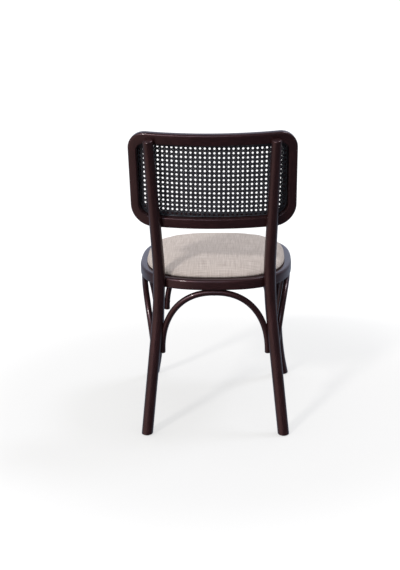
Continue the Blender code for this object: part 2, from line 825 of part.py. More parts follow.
def make_legs(floor_cut, seat_cut):
    """Four bent legs, and a cutter for each that is larger by the gap between pieces."""
    legs = {}
    rear_radii = [rear_leg_radius(place.z) for place in REAR_PATH]
    rear_line, rear_sizes = with_dome(REAR_PATH, rear_radii)
    front_sizes = [FRONT_LEG_RADIUS] * len(FRONT_PATH)
    for word, side in SIDES:
        path = [mirrored(place, side) for place in rear_line]
        name = "rear_leg_" + word
        leg = tube(name, path, rear_sizes, LEG_SIDES_RESOLUTION)
        room = tube(name + " room", path, rear_sizes, LEG_SIDES_RESOLUTION, CUTTERS, GAP)
        legs[name] = (finish(leg, DARK_WOOD), room)
        cut(leg, floor_cut)

        path = [mirrored(place, side) for place in FRONT_PATH]
        path.append(path[-1] + (path[-1] - path[-2]).normalized() * TENON_RADIUS)
        sizes = front_sizes + [FRONT_LEG_RADIUS]
        name = "front_leg_" + word
        leg = tube(name, path, sizes, LEG_SIDES_RESOLUTION)
        room = tube(name + " room", path, sizes, LEG_SIDES_RESOLUTION, CUTTERS, GAP)
        legs[name] = (finish(leg, DARK_WOOD), room)
        cut(leg, floor_cut)
        cut(leg, seat_cut)
        root = mirrored(FRONT_TOP, side) - Vector((0, 0, TENON_LENGTH))
        tenon = cylinder(name + " tenon", TENON_RADIUS, 2 * TENON_LENGTH, root, (0, 0, 1), CUTTERS)
        joined = leg.modifiers.new("tenon", "BOOLEAN")
        joined.operation = "UNION"
        joined.solver = "EXACT"
        joined.object = tenon
    return legs


def make_arches(legs):
    """Rear, front and side arches, cut to the legs that they are screwed to."""
    rear = beside(REAR_PATH, REAR_LEG_RADIUS, REAR_ARCH_TURN, 1, ARCH_JOINT_Z)
    front = beside(FRONT_PATH, FRONT_LEG_RADIUS, FRONT_ARCH_TURN, 1, ARCH_JOINT_Z)
    side_rear = beside(REAR_PATH, REAR_LEG_RADIUS, SIDE_ARCH_REAR_TURN, 1, ARCH_JOINT_Z)
    side_front = beside(FRONT_PATH, FRONT_LEG_RADIUS, SIDE_ARCH_FRONT_TURN, 1, ARCH_JOINT_Z)
    arches = []
    for name, end, crown_turn, leg, foot in (
        ("rear_arch", rear, 90.0, "rear_leg", REAR_ARCH_FOOT_Z),
        ("front_arch", front, -90.0, "front_leg", FRONT_ARCH_FOOT_Z),
    ):
        ends = [(mirrored(end[0], side), mirrored(end[1], side), f"{leg}_{word}") for word, side in SIDES]
        arches.append((name, ends, arch_crown(crown_turn), foot))
    for word, side in SIDES:
        ends = [
            (mirrored(side_rear[0], side), mirrored(side_rear[1], side), "rear_leg_" + word),
            (mirrored(side_front[0], side), mirrored(side_front[1], side), "front_leg_" + word),
        ]
        crown = mirrored(arch_crown(SIDE_ARCH_CROWN_ANGLE), side)
        arches.append(("side_arch_" + word, ends, crown, SIDE_ARCH_FOOT_Z))
    made = []
    for name, ends, crown, foot in arches:
        path = arch_path(ends[0][0], ends[1][0], crown, foot)
        arch = tube(name, path, [ARCH_RADIUS] * len(path), ARCH_SIDES_RESOLUTION)
        finish(arch, DARK_WOOD)
        for _, _, leg in ends:
            cut(arch, legs[leg][1])
        made.append((arch, path, ends, crown))
    return made


def fasten_arches(arches, legs, ring):
    """A screw through each arch foot into its leg, and one up through each crown into the ring."""
    depth = SCREW_HEAD_HEIGHT
    for arch, path, ends, crown in arches:
        for number, (_, to_leg, leg) in enumerate(ends, start=1):
            half = path[:len(path) // 2 + 1] if number == 1 else path[len(path) // 2:]
            centre, _ = at_height(half, ARCH_JOINT_Z)
            head = centre - to_leg * ARCH_RADIUS
            length = 2 * ARCH_RADIUS + ARCH_SCREW_BITE
            name = f"{arch.name}_screw_{number}"
            screw(name, head, to_leg, length, ARCH_SCREW_RADIUS, ARCH_SCREW_HEAD_RADIUS)
            hole = screw_hole(name + " hole", head, to_leg, length,
                              ARCH_SCREW_RADIUS, ARCH_SCREW_HEAD_RADIUS, depth)
            cut(arch, hole)
            cut(legs[leg][0], hole)
        head = crown - Vector((0, 0, ARCH_RADIUS))
        length = 2 * ARCH_RADIUS + ARCH_SCREW_BITE
        name = f"{arch.name}_screw_3"
        screw(name, head, (0, 0, 1), length, ARCH_SCREW_RADIUS, ARCH_SCREW_HEAD_RADIUS)
        hole = screw_hole(name + " hole", head, (0, 0, 1), length,
                          ARCH_SCREW_RADIUS, ARCH_SCREW_HEAD_RADIUS, depth)
        cut(arch, hole)
        cut(ring, hole)


def add_plug(name, radius, seat, inwards, leg_path, sizes):
    """A wooden plug over a screw head, trimmed flush with the leg's surface."""
    length = 2 * PLUG_LENGTH
    profile = ((0.0, 0.0), (radius, 0.0), (radius, length), (0.0, length))
    plug = turned(name, profile, seat - inwards * length, inwards)
    flush = tube(name + " flush", leg_path, sizes, LEG_SIDES_RESOLUTION, CUTTERS, -GAP / 3)
    trim = plug.modifiers.new("flush with the leg", "BOOLEAN")
    trim.operation = "INTERSECT"
    trim.solver = "EXACT"
    trim.object = flush
    return finish(plug, DARK_WOOD)


def fasten_rear_legs(legs, ring, frame):
    """Plugged screws hold the back frame to the uprights, and a bolt holds each leg to the ring."""
    radii = [rear_leg_radius(place.z) for place in REAR_PATH]
    line, sizes = with_dome(REAR_PATH, radii)
    opening = BACK_HEIGHT / 2 - BACK_CROSS_RAIL
    levels = (("lower", -opening - BACK_CROSS_RAIL / 2), ("upper", opening + UPPER_SCREW_RISE))
    to_ring = REAR_LEG_SEAT_RADIUS - LEG_COVE_IN_RING
    for word, side in SIDES:
        leg = legs["rear_leg_" + word][0]
        path = [mirrored(place, side) for place in line]
        for level, up in levels:
            across = UPRIGHT_BOTTOM_ACROSS if level == "lower" else UPRIGHT_TOP_ACROSS
            target = mirrored(back_point(across, up), side)
            inwards = (target - mirrored(back_point(across, up, 0.01), side)).normalized()
            axis, _ = at_height(path, back_point(across, up, BACK_THICKNESS).z)
            radius = rear_leg_radius(axis.z)
            seat = axis - inwards * (radius - PLUG_LENGTH)
            head = seat + inwards * GAP
            length = 2 * radius - PLUG_LENGTH - LEG_COVE_IN_BACK + BACK_SCREW_BITE
            name = f"back_screw_{level}_{word}"
            screw(name, head, inwards, length, BACK_SCREW_RADIUS, BACK_SCREW_HEAD_RADIUS)
            hole = screw_hole(name + " hole", head, inwards, length,
                              BACK_SCREW_RADIUS, PLUG_RADIUS, SCREW_HEAD_HEIGHT)
            cut(leg, hole)
            cut(frame, hole)
            add_plug(f"back_plug_{level}_{word}", PLUG_RADIUS, seat, inwards, path, sizes)

        inwards = -mirrored(REAR_OUT, side)
        axis, _ = at_height(path, RING_BOTTOM + RING_LIP_HEIGHT / 2)
        seat = axis - inwards * (REAR_LEG_SEAT_RADIUS - PLUG_LENGTH)
        head = seat + inwards * GAP
        ring_inside = mirrored(REAR_SEAT, side) + inwards * (to_ring + RING_WIDTH)
        through = (ring_inside - seat).dot(inwards)
        length = through + WASHER_THICKNESS + NUT_HEIGHT + BOLT_END
        name = "leg_bolt_" + word
        screw(name, head, inwards, length, LEG_BOLT_RADIUS, LEG_BOLT_HEAD_RADIUS, LEG_BOLT_HEAD_HEIGHT)
        hole = screw_hole(name + " hole", head, inwards, length,
                          LEG_BOLT_RADIUS, LEG_BOLT_PLUG_RADIUS, LEG_BOLT_HEAD_HEIGHT)
        cut(leg, hole)
        cut(ring, hole)
        add_plug("leg_plug_" + word, LEG_BOLT_PLUG_RADIUS, seat, inwards, path, sizes)
        inner_face = seat + inwards * (through + WASHER_CLEARANCE)
        bore = cylinder(name + " bore", LEG_BOLT_RADIUS + SCREW_CLEARANCE, length, head, inwards, CUTTERS)
        washer = cylinder("leg_washer_" + word, WASHER_RADIUS, WASHER_THICKNESS, inner_face, inwards)
        cut(finish(washer, STEEL, 0.3, 1.0), bore)
        nut_face = inner_face + inwards * (WASHER_THICKNESS + GAP)
        nut = cylinder("leg_nut_" + word, NUT_RADIUS, NUT_HEIGHT, nut_face, inwards, sides=6)
        cut(finish(nut, STEEL, 0.3, 1.0), bore)


def fasten_pad(board, ring):
    """Screws up through the ring's lip into the pad's board."""
    inset = RING_RIM_WIDTH + RING_LIP_WIDTH / 2 + GAP
    length = BOARD_BOTTOM - RING_BOTTOM + SEAT_SCREW_BITE
    for number, turn in enumerate(SEAT_SCREW_TURNS, start=1):
        head, _ = seat_outline(turn, inset)
        head.z = RING_BOTTOM + GAP
        name = f"seat_screw_{number}"
        screw(name, head, (0, 0, 1), length, SEAT_SCREW_RADIUS, SEAT_SCREW_HEAD_RADIUS)
        hole = screw_hole(name + " hole", head, (0, 0, 1), length,
                          SEAT_SCREW_RADIUS, SEAT_SCREW_HEAD_RADIUS, SCREW_HEAD_HEIGHT)
        cut(ring, hole)
        cut(board, hole)


def make_glides(legs):
    """A nylon glide with its nail under each leg."""
    top = GLIDE_HEIGHT - GAP
    profile = (
        (0.0, 0.0),
        (GLIDE_RADIUS - GLIDE_EDGE, 0.0),
        (GLIDE_RADIUS, GLIDE_EDGE),
        (GLIDE_RADIUS, top),
        (GLIDE_NAIL_RADIUS, top),
        (GLIDE_NAIL_RADIUS, GLIDE_NAIL_LENGTH - GLIDE_NAIL_RADIUS),
        (0.0, GLIDE_NAIL_LENGTH),
    )
    for word, side in SIDES:
        for end, foot in (("rear", REAR_FOOT), ("front", FRONT_FOOT)):
            place = mirrored(foot, side)
            place.z = 0.0
            name = f"glide_{end}_{word}"
            finish(turned(name, profile, place, (0, 0, 1), GLIDE_STEPS), NYLON, 0.5)
            hole = cylinder(name + " hole", GLIDE_NAIL_RADIUS + SCREW_CLEARANCE,
                            GLIDE_NAIL_LENGTH + GAP, place, (0, 0, 1), CUTTERS, sides=12)
            cut(legs[f"{end}_leg_{word}"][0], hole)


def gather():
    """Hang every piece on one empty at the chair's origin."""
    origin = bpy.data.objects.new("chair_origin", None)
    for piece in CHAIR.objects:
        piece.parent = origin
    CHAIR.objects.link(origin)


def build():
    """Make every piece of the chair."""
    far = 2 * SEAT_REAR_REACH
    floor_cut = slab("floor cut", (-far, -far, -REAR_LEG_TAPER), (far, far, GLIDE_HEIGHT))
    seat_cut = slab("under the ring cut", (-far, -far, RING_BOTTOM - GAP), (far, far, RING_TOP + far))
    ring = make_seat_ring()
    board = make_seat_pad()
    frame = make_back_frame()
    make_cane()
    legs = make_legs(floor_cut, seat_cut)
    arches = make_arches(legs)
    for word, side in SIDES:
        cut(ring, legs["rear_leg_" + word][1])
        cut(frame, legs["rear_leg_" + word][1])
        socket_foot = mirrored(FRONT_TOP, side) - Vector((0, 0, TENON_LENGTH))
        socket = cylinder("tenon socket " + word, TENON_RADIUS + GAP, 2 * TENON_LENGTH + GAP,
                          socket_foot, (0, 0, 1), CUTTERS)
        cut(ring, socket)
    fasten_arches(arches, legs, ring)
    fasten_rear_legs(legs, ring, frame)
    fasten_pad(board, ring)
    make_glides(legs)
    gather()


build()
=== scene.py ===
"""The looks of a bentwood dining chair with a cane back and an upholstered seat.

Frame: metres, +Z up, the sitter faces -Y, +X is the sitter's left. Every new piece is a
surface of two parameters or a profile carried along a path, worked out as numpy arrays.
"""

import sys

import logging
import math
from dataclasses import dataclass, field
from enum import Enum
from typing import Sequence

import bpy
import numpy as np
from mathutils import Matrix, Vector


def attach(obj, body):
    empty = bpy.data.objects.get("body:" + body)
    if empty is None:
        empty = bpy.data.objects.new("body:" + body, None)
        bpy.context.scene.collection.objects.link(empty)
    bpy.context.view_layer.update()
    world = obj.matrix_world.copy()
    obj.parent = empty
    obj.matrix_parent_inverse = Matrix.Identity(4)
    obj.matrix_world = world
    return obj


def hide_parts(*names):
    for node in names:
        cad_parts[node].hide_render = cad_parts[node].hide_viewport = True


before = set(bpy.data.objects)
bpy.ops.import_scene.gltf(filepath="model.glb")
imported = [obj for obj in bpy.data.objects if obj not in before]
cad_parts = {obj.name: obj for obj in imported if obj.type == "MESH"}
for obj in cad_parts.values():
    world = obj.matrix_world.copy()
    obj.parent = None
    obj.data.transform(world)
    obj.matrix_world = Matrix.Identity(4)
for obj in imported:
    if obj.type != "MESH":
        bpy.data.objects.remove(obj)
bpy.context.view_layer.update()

Array = np.ndarray
Socket = bpy.types.NodeSocket
LOG = logging.getLogger("chair")

GAP = 0.0003
GRAIN = "grain"
SIDES = (("left", 1.0), ("right", -1.0))
UP = np.array([0.0, 0.0, 1.0])


class Slot(Enum):
    """The record's material slots that the finishes belong to."""

    WOOD = "wood"
    CANE = "cane"
    LINEN = "linen"
    PLYWOOD = "plywood"
    DUST_CLOTH = "dust_cloth"
    STEEL = "steel"
    GLIDES = "glides"


# Arrays and surfaces


def unit(vectors: Array) -> Array:
    """Vectors divided by their lengths."""
    return vectors / np.linalg.norm(vectors, axis=-1, keepdims=True)


def abreast(*parts: Array | float) -> Array:
    """Numbers and arrays, spread to one shape, as the columns of one array."""
    return np.stack(np.broadcast_arrays(*parts), axis=-1)


def lengths_along(path: Array) -> Array:
    """The length walked along a path up to each of its points."""
    return np.concatenate(([0.0], np.cumsum(np.linalg.norm(np.diff(path, axis=0), axis=1))))


def read_off(where: Array | float, along: Array, rows: Array) -> Array:
    """Rows interpolated at the places given along them."""
    return np.stack([np.interp(where, along, column) for column in rows.T], axis=-1)


def mirrored(points: Array, side: float) -> Array:
    """Points with x times side, where 1 is the sitter's left and -1 the right."""
    return points * np.array([side, 1.0, 1.0])


def arc(start: float, end: float, steps: int) -> Array:
    """Cosines and sines, as rows, at even steps between two angles in degrees."""
    turn = np.radians(np.linspace(start, end, steps + 1))
    return np.stack([np.cos(turn), np.sin(turn)], axis=1)


def quads_of(index: Array) -> Array:
    """The quads between neighbouring rows and columns of a grid of corner numbers."""
    quads = [index[:-1, :-1], index[1:, :-1], index[1:, 1:], index[:-1, 1:]]
    return np.stack(quads, axis=-1).reshape(-1, 4)


@dataclass
class Surface:
    """A grid of points: one row for each step along a piece, one column for each step round it.

    The grain holds, for each point, where it lies in the straightened piece, in metres: two
    measures across the piece and one along it. The materials draw fibres and threads on it.
    """

    points: Array
    grain: Array
    closed_along: bool = False
    closed_round: bool = True
    start: Array | None = None
    end: Array | None = None
    solid: bool = True

    def faces(self) -> tuple[Array, Array]:
        """Quads between neighbouring rows and columns, and fans of triangles at the poles.

        Returns:
            Corner numbers of the quads and of the triangles, all facing outwards.
        """
        rows, columns = self.points.shape[:2]
        index = np.arange(rows * columns).reshape(rows, columns)
        if self.closed_round:
            index = np.concatenate([index, index[:, :1]], axis=1)
        if self.closed_along:
            index = np.concatenate([index, index[:1]], axis=0)
        quads, fans, pole = quads_of(index), [np.empty((0, 3), int)], rows * columns
        for point, first, second in ((self.start, index[0, :-1], index[0, 1:]),
                                     (self.end, index[-1, 1:], index[-1, :-1])):
            if point is not None:
                fans.append(abreast(pole, first, second))
                pole += 1
        triangles = np.concatenate(fans)
        if self.solid and self.volume(quads, triangles) < 0.0:
            quads, triangles = quads[:, ::-1], triangles[:, ::-1]
        return quads, triangles

    def corners(self) -> tuple[Array, Array]:
        """All points and their grain places, with the poles at the end.

        Returns:
            Rows of points, and as many rows of grain.
        """
        points, grain = [self.points.reshape(-1, 3)], [self.grain.reshape(-1, 3)]
        for pole, row in ((self.start, 0), (self.end, -1)):
            if pole is not None:
                points.append(np.reshape(pole, (1, 3)))
                grain.append(self.grain[row].mean(axis=0, keepdims=True))
        return np.concatenate(points), np.concatenate(grain)

    def volume(self, quads: Array, triangles: Array) -> float:
        """Sum of a . (b x c) / 6 over the triangles: positive when the faces point outwards.

        Args:
            quads: corner numbers of the quads.
            triangles: corner numbers of the triangles.

        Returns:
            The volume in cubic metres.
        """
        points, _ = self.corners()
        split = np.concatenate([quads[:, [0, 1, 2]], quads[:, [0, 2, 3]], triangles])
        a, b, c = (points[split[:, k]] - points.mean(axis=0) for k in range(3))
        return float(np.einsum("ij,ij->", a, np.cross(b, c)) / 6.0)

    def mirrored(self, side: float) -> "Surface":
        """This surface, which has both poles, with every x times side."""
        self.points, self.start, self.end = (mirrored(p, side) for p in (self.points, self.start, self.end))
        return self


def link_object(name: str, data: bpy.types.ID) -> bpy.types.Object:
    """Add an object that shows the data given to the scene.

    Args:
        name: the object's name.
        data: its mesh, camera or light.

    Returns:
        The new object.
    """
    obj = bpy.data.objects.new(name, data)
    bpy.context.scene.collection.objects.link(obj)
    return obj


def link_mesh(name: str, points: Array, grain: Array, faces: Sequence[Array]) -> bpy.types.Object:
    """Make a smooth mesh object at the origin, and keep the grain at each point.

    Args:
        name: the object's name.
        points: rows of x, y and z.
        grain: rows of the grain's three measures.
        faces: arrays of corner numbers, with a row for each face.

    Returns:
        The new object, linked to the scene.
    """
    corners = np.concatenate([part.ravel() for part in faces])
    sizes = np.concatenate([np.full(len(part), part.shape[1]) for part in faces])
    mesh = bpy.data.meshes.new(name)
    mesh.vertices.add(len(points))
    mesh.vertices.foreach_set("co", points.ravel())
    mesh.loops.add(len(corners))
    mesh.loops.foreach_set("vertex_index", corners)
    mesh.polygons.add(len(sizes))
    mesh.polygons.foreach_set("loop_start", np.concatenate(([0], np.cumsum(sizes)[:-1])))
    mesh.attributes.new(GRAIN, "FLOAT_VECTOR", "POINT").data.foreach_set("vector", grain.ravel())
    mesh.update(calc_edges=True)
    mesh.validate()
    mesh.shade_smooth()
    return link_object(name, mesh)


def make_piece(name: str, surfaces: Sequence[Surface], sharp_from: float = 40.0) -> bpy.types.Object:
    """Put surfaces into one mesh object, with edges sharp from the angle given in degrees.

    Args:
        name: the piece's name.
        surfaces: its surfaces.
        sharp_from: the angle between faces from which their edge is sharp.

    Returns:
        The new object.
    """
    points, grain, faces, first = [], [], [], 0
    for surface in surfaces:
        place, lay = surface.corners()
        faces += [part + first for part in surface.faces()]
        points.append(place)
        grain.append(lay)
        first += len(place)
    piece = link_mesh(name, np.concatenate(points), np.concatenate(grain), faces)
    piece.data.set_sharp_from_angle(angle=math.radians(sharp_from))
    return piece


def make_envelope(name: str, outer: tuple[Array, Array], inner: tuple[Array, Array]) -> bpy.types.Object:
    """Two square grids of points and grain, joined round their edges into one closed skin.

    Args:
        name: the piece's name.
        outer: the outer grid's points and grain.
        inner: the same for the inner grid.

    Returns:
        The new object.
    """
    rows, columns = outer[0].shape[:2]
    count = rows * columns
    index = np.arange(count).reshape(rows, columns)
    quads = quads_of(index)
    rim = np.concatenate([index[0, :-1], index[:-1, -1], index[-1, :0:-1], index[:0:-1, 0]])
    after = np.roll(rim, -1)
    points, grain = (np.concatenate([a.reshape(-1, 3), b.reshape(-1, 3)]) for a, b in zip(outer, inner))
    band = abreast(rim, after, after + count, rim + count)
    return link_mesh(name, points, grain, [quads, quads[:, ::-1] + count, band])


def bar(path: Array, radii: Array, across: Sequence[float], sides: int = 32, lead: float = 0.0,
        closed: bool = False, start: Array | None = None, end: Array | None = None) -> Surface:
    """A round bar: point = path + radius (cos a * side + sin a * up), with side nearest to across.

    Args:
        path: the centre line's points.
        radii: the radius at each of them.
        across: a direction that is never along the path, to which the section is tied.
        sides: the steps round the bar.
        lead: how far the grain is shifted along, so that pieces differ.
        closed: whether the path joins its own start.
        start: the pole that closes the first row.
        end: the pole that closes the last row.

    Returns:
        The bar's surface.
    """
    ahead = np.roll(path, -1, axis=0) - np.roll(path, 1, axis=0) if closed else np.gradient(path, axis=0)
    along = unit(ahead)
    across = np.broadcast_to(np.asarray(across, float), path.shape)
    side = unit(across - np.sum(across * along, axis=1, keepdims=True) * along)
    section = arc(0.0, 360.0, sides)[:-1] * np.asarray(radii)[:, None, None]
    points = path[:, None] + section[..., :1] * side[:, None] + \
        section[..., 1:] * np.cross(along, side)[:, None]
    grain = abreast(section[..., 0], section[..., 1], (lengths_along(path) + lead)[:, None])
    return Surface(points, grain, closed_along=closed, start=start, end=end)


def level_rows(surface: Surface, rows: Sequence[int], heights: Sequence[float], along: Array) -> None:
    """Slide whole rows of a bar along its direction until each lies level at its height."""
    for row, height in zip(rows, heights):
        points = surface.points[row]
        surface.points[row] = points + along * ((height - points[:, 2:]) / along[2])


def turned(profile: Array, place: Array, direction: Array, steps: int = 32) -> Surface:
    """A turned piece: a (radius, height) profile carried round an axis, its ends as poles.

    Args:
        profile: rows of radius and height, from the axis back to the axis.
        place: where height 0 lies.
        direction: the axis, along which the height grows.
        steps: the steps round.

    Returns:
        The closed surface.
    """
    axis = unit(np.asarray(direction, float))
    side = unit(np.cross(axis, np.eye(3)[0 if abs(axis[0]) < 0.8 else 1]))
    radius, height = profile[1:-1, :1], profile[1:-1, 1:]
    flat = radius[..., None] * arc(0.0, 360.0, steps)[:-1]
    points = place + flat[..., :1] * side + flat[..., 1:] * np.cross(axis, side) + height[..., None] * axis
    grain = abreast(flat[..., 0], flat[..., 1], height)
    return Surface(points, grain, start=place + axis * profile[0, 1], end=place + axis * profile[-1, 1])


def bent_path(corners: Sequence[Array], reaches: Sequence[float], step: float = 0.004) -> Array:
    """Straight runs joined by parabolic bends: a (1-t)^2 + 2 b t (1-t) + c t^2 round each corner.

    Args:
        corners: the start, the corners that are rounded over, and the end.
        reaches: how far each bend runs either side of its corner.
        step: the spacing of the points.

    Returns:
        The path's points.
    """
    runs, here = [], corners[0]
    for before, corner, after, reach in zip(corners, corners[1:], corners[2:], reaches):
        start = corner + unit(before - corner) * reach
        end = corner + unit(after - corner) * reach
        t = np.linspace(0.0, 1.0, max(8, int(2 * reach / step)))[:, None]
        bend = start * (1 - t) ** 2 + corner * 2 * t * (1 - t) + end * t ** 2
        runs += [straight(here, start, step)[:-1], bend[:-1]]
        here = end
    return np.concatenate(runs + [straight(here, corners[-1], step)])


def straight(start: Array, end: Array, step: float) -> Array:
    """Even points from start to end, about a step apart."""
    count = max(2, int(round(np.linalg.norm(end - start) / step)) + 1)
    return start + (end - start) * np.linspace(0.0, 1.0, count)[:, None]


def at_height(path: Array, height: float) -> Array:
    """The place on a rising path at the height given."""
    order = np.argsort(path[:, 2])
    return read_off(height, path[order, 2], path[order])


# Finishes


def linear(code: str) -> tuple[float, ...]:
    """An sRGB hex colour as linear red, green, blue and a full alpha."""
    parts = np.array([int(code[k:k + 2], 16) for k in (1, 3, 5)]) / 255.0
    return (*np.where(parts <= 0.04045, parts / 12.92, ((parts + 0.055) / 1.055) ** 2.4).tolist(), 1.0)


class Graph:
    """The nodes of a material or a world, with a short call for each kind that is used."""

    def __init__(self, owner: bpy.types.Material | bpy.types.World) -> None:
        """Start from an empty tree.

        Args:
            owner: the material or world that the nodes belong to.
        """
        owner.use_nodes = True
        self.tree = owner.node_tree
        self.tree.nodes.clear()

    def add(self, kind: str, inputs: dict | None = None, **settings: object) -> bpy.types.Node:
        """Add a node with its settings, and give its inputs a value or a link each.

        Args:
            kind: the node's type name, after "ShaderNode".
            inputs: for each input's name or number, a plain value or the socket to link from.
            settings: the node's own properties.

        Returns:
            The new node.
        """
        node = self.tree.nodes.new("ShaderNode" + kind)
        for key, value in settings.items():
            setattr(node, key, value)
        for key, value in (inputs or {}).items():
            if isinstance(value, Socket):
                self.tree.links.new(value, node.inputs[key])
            else:
                node.inputs[key].default_value = value
        return node

    def grain(self, x: float = 1.0, y: float = 1.0, z: float = 1.0) -> Socket:
        """The piece's grain coordinates times a scale for each axis."""
        lay = self.add("Attribute", attribute_name=GRAIN, attribute_type="GEOMETRY")
        return self.add("Mapping", {"Vector": lay.outputs["Vector"], "Scale": (x, y, z)}).outputs[0]

    def place(self) -> Socket:
        """The object's own coordinates."""
        return self.add("TexCoord").outputs["Object"]

    def noise(self, vector: Socket, scale: float, detail: float = 2.0, roughness: float = 0.5) -> Socket:
        """Fractal noise between 0 and 1."""
        return self.add("TexNoise", {
            "Vector": vector, "Scale": scale, "Detail": detail, "Roughness": roughness}).outputs[0]

    def cells(self, vector: Socket, size: float, randomness: float = 1.0) -> Socket:
        """The distance to the nearest of many points, in cells of the size given."""
        return self.add("TexVoronoi", {
            "Vector": vector, "Scale": 1.0 / size, "Randomness": randomness}).outputs[0]

    def bands(self, vector: Socket, spacing: float, direction: str, more: dict) -> Socket:
        """Waves a spacing apart in one direction."""
        return self.add("TexWave", {"Vector": vector, "Scale": math.pi / 10.0 / spacing, **more},
                        bands_direction=direction).outputs[1]

    def ramp(self, value: Socket, low: float = 0.0, high: float = 1.0, first: float = 0.0,
             last: float = 1.0, kind: str = "LINEAR") -> Socket:
        """A value carried from low and high to first and last, and held beyond them."""
        return self.add("MapRange", {
            "Value": value, "From Min": low, "From Max": high, "To Min": first, "To Max": last},
            interpolation_type=kind).outputs[0]

    def maths(self, operation: str, first: Socket, second: Socket | float = 0.0) -> Socket:
        """One operation on two numbers."""
        return self.add("Math", {0: first, 1: second}, operation=operation).outputs[0]

    def mix(self, share: Socket | float, first: Socket | str, second: Socket | str,
            blend: str = "MIX") -> Socket:
        """Two colours, each a socket or a hex code, mixed by a share."""
        parts = [linear(part) if isinstance(part, str) else part for part in (first, second)]
        return self.add("Mix", {0: share, 6: parts[0], 7: parts[1]},
                        data_type="RGBA", blend_type=blend).outputs[2]

    def bump(self, height: Socket, strength: float, distance: float) -> Socket:
        """A normal that is tilted by a height."""
        return self.add("Bump", {"Height": height, "Strength": strength, "Distance": distance}).outputs[0]

    def principled(self, colour: Socket, roughness: Socket | float, more: dict) -> Socket:
        """The main shader, with its further inputs by name."""
        return self.add("BsdfPrincipled", {
            "Base Color": colour, "Roughness": roughness, **more}).outputs[0]


@dataclass(frozen=True)
class Finish:
    """What all finishes share: a named material whose nodes a subclass lays out."""

    name: str = ""
    slot: Slot | None = None

    def material(self) -> bpy.types.Material:
        """The finish as a material, made the first time it is asked for.

        Returns:
            The material.
        """
        made = bpy.data.materials.get(self.name)
        if made is None:
            made = bpy.data.materials.new(self.name)
            graph = Graph(made)
            graph.add("OutputMaterial", {"Surface": self.lay_out(graph)})
        return made

    def lay_out(self, graph: Graph) -> Socket:
        """Add the finish's nodes to its graph and return its shader."""
        raise NotImplementedError


@dataclass(frozen=True)
class StainedBeech(Finish):
    """Steam-bent beech under a walnut stain and a sprayed satin lacquer.

    The eye gets straight fine fibres along every bend, short dark rays, a stain that is a
    little lighter on open fibres, and a smooth film over it that rounds all highlights.
    """

    name: str = "stained beech, satin lacquer"
    slot: Slot = Slot.WOOD
    deep: str = "#180a0b"
    warm: str = "#31191a"
    fibre: float = 0.0011
    ray_length: float = 0.0035
    roughness: float = 0.40
    film: float = 0.50
    film_roughness: float = 0.12
    gloss_tint: str = "#ffc2c4"

    def lay_out(self, graph: Graph) -> Socket:
        """Fibres and rays are noise stretched along the grain; the film is the coat.

        Args:
            graph: the graph that the nodes go into.

        Returns:
            The shader.
        """
        # Real beech fibres are under 0.1 mm wide; drawn ten times as coarse so that they show.
        fibres = graph.noise(graph.grain(z=0.045), 1.0 / self.fibre, 4.0, 0.6)
        rays = graph.cells(graph.grain(z=0.22), 0.22 * self.ray_length)
        stain = graph.maths("MULTIPLY", graph.ramp(fibres, 0.36, 0.66), graph.noise(graph.grain(z=0.3), 28.0))
        ground = graph.mix(graph.ramp(stain, 0.05, 0.55), self.deep, self.warm)
        colour = graph.mix(1.0, ground, graph.ramp(rays, 0.10, 0.22, 0.55, 1.0), "MULTIPLY")
        rough = graph.ramp(fibres, first=self.roughness - 0.05, last=self.roughness + 0.07)
        relief = graph.bump(fibres, 0.10, 0.0003)
        return graph.principled(colour, rough, {
            "IOR": 1.5, "Specular Tint": linear(self.gloss_tint), "Coat Weight": self.film,
            "Coat Roughness": self.film_roughness, "Coat IOR": 1.5, "Normal": relief})


@dataclass(frozen=True)
class StainedCane(Finish):
    """Split rattan peel, woven and stained nearly black.

    The eye gets long hairline fibres in each flat strand and a soft waxy sheen on its back.
    """

    name: str = "stained rattan cane"
    slot: Slot = Slot.CANE
    deep: str = "#18181d"
    light: str = "#3f4048"
    fibre: float = 0.0005
    roughness: float = 0.42

    def lay_out(self, graph: Graph) -> Socket:
        """Fibres are noise drawn out along each strand, slow changes run from strand to strand.

        Args:
            graph: the graph that the nodes go into.

        Returns:
            The shader.
        """
        fibres = graph.noise(graph.grain(z=0.03), 1.0 / self.fibre, 3.0)
        mixed = graph.maths("MULTIPLY", fibres, graph.noise(graph.grain(), 35.0, 1.0))
        colour = graph.mix(graph.ramp(mixed, 0.12, 0.42), self.deep, self.light)
        relief = graph.bump(fibres, 0.25, 0.0001)
        return graph.principled(colour, self.roughness, {"IOR": 1.5, "Normal": relief})


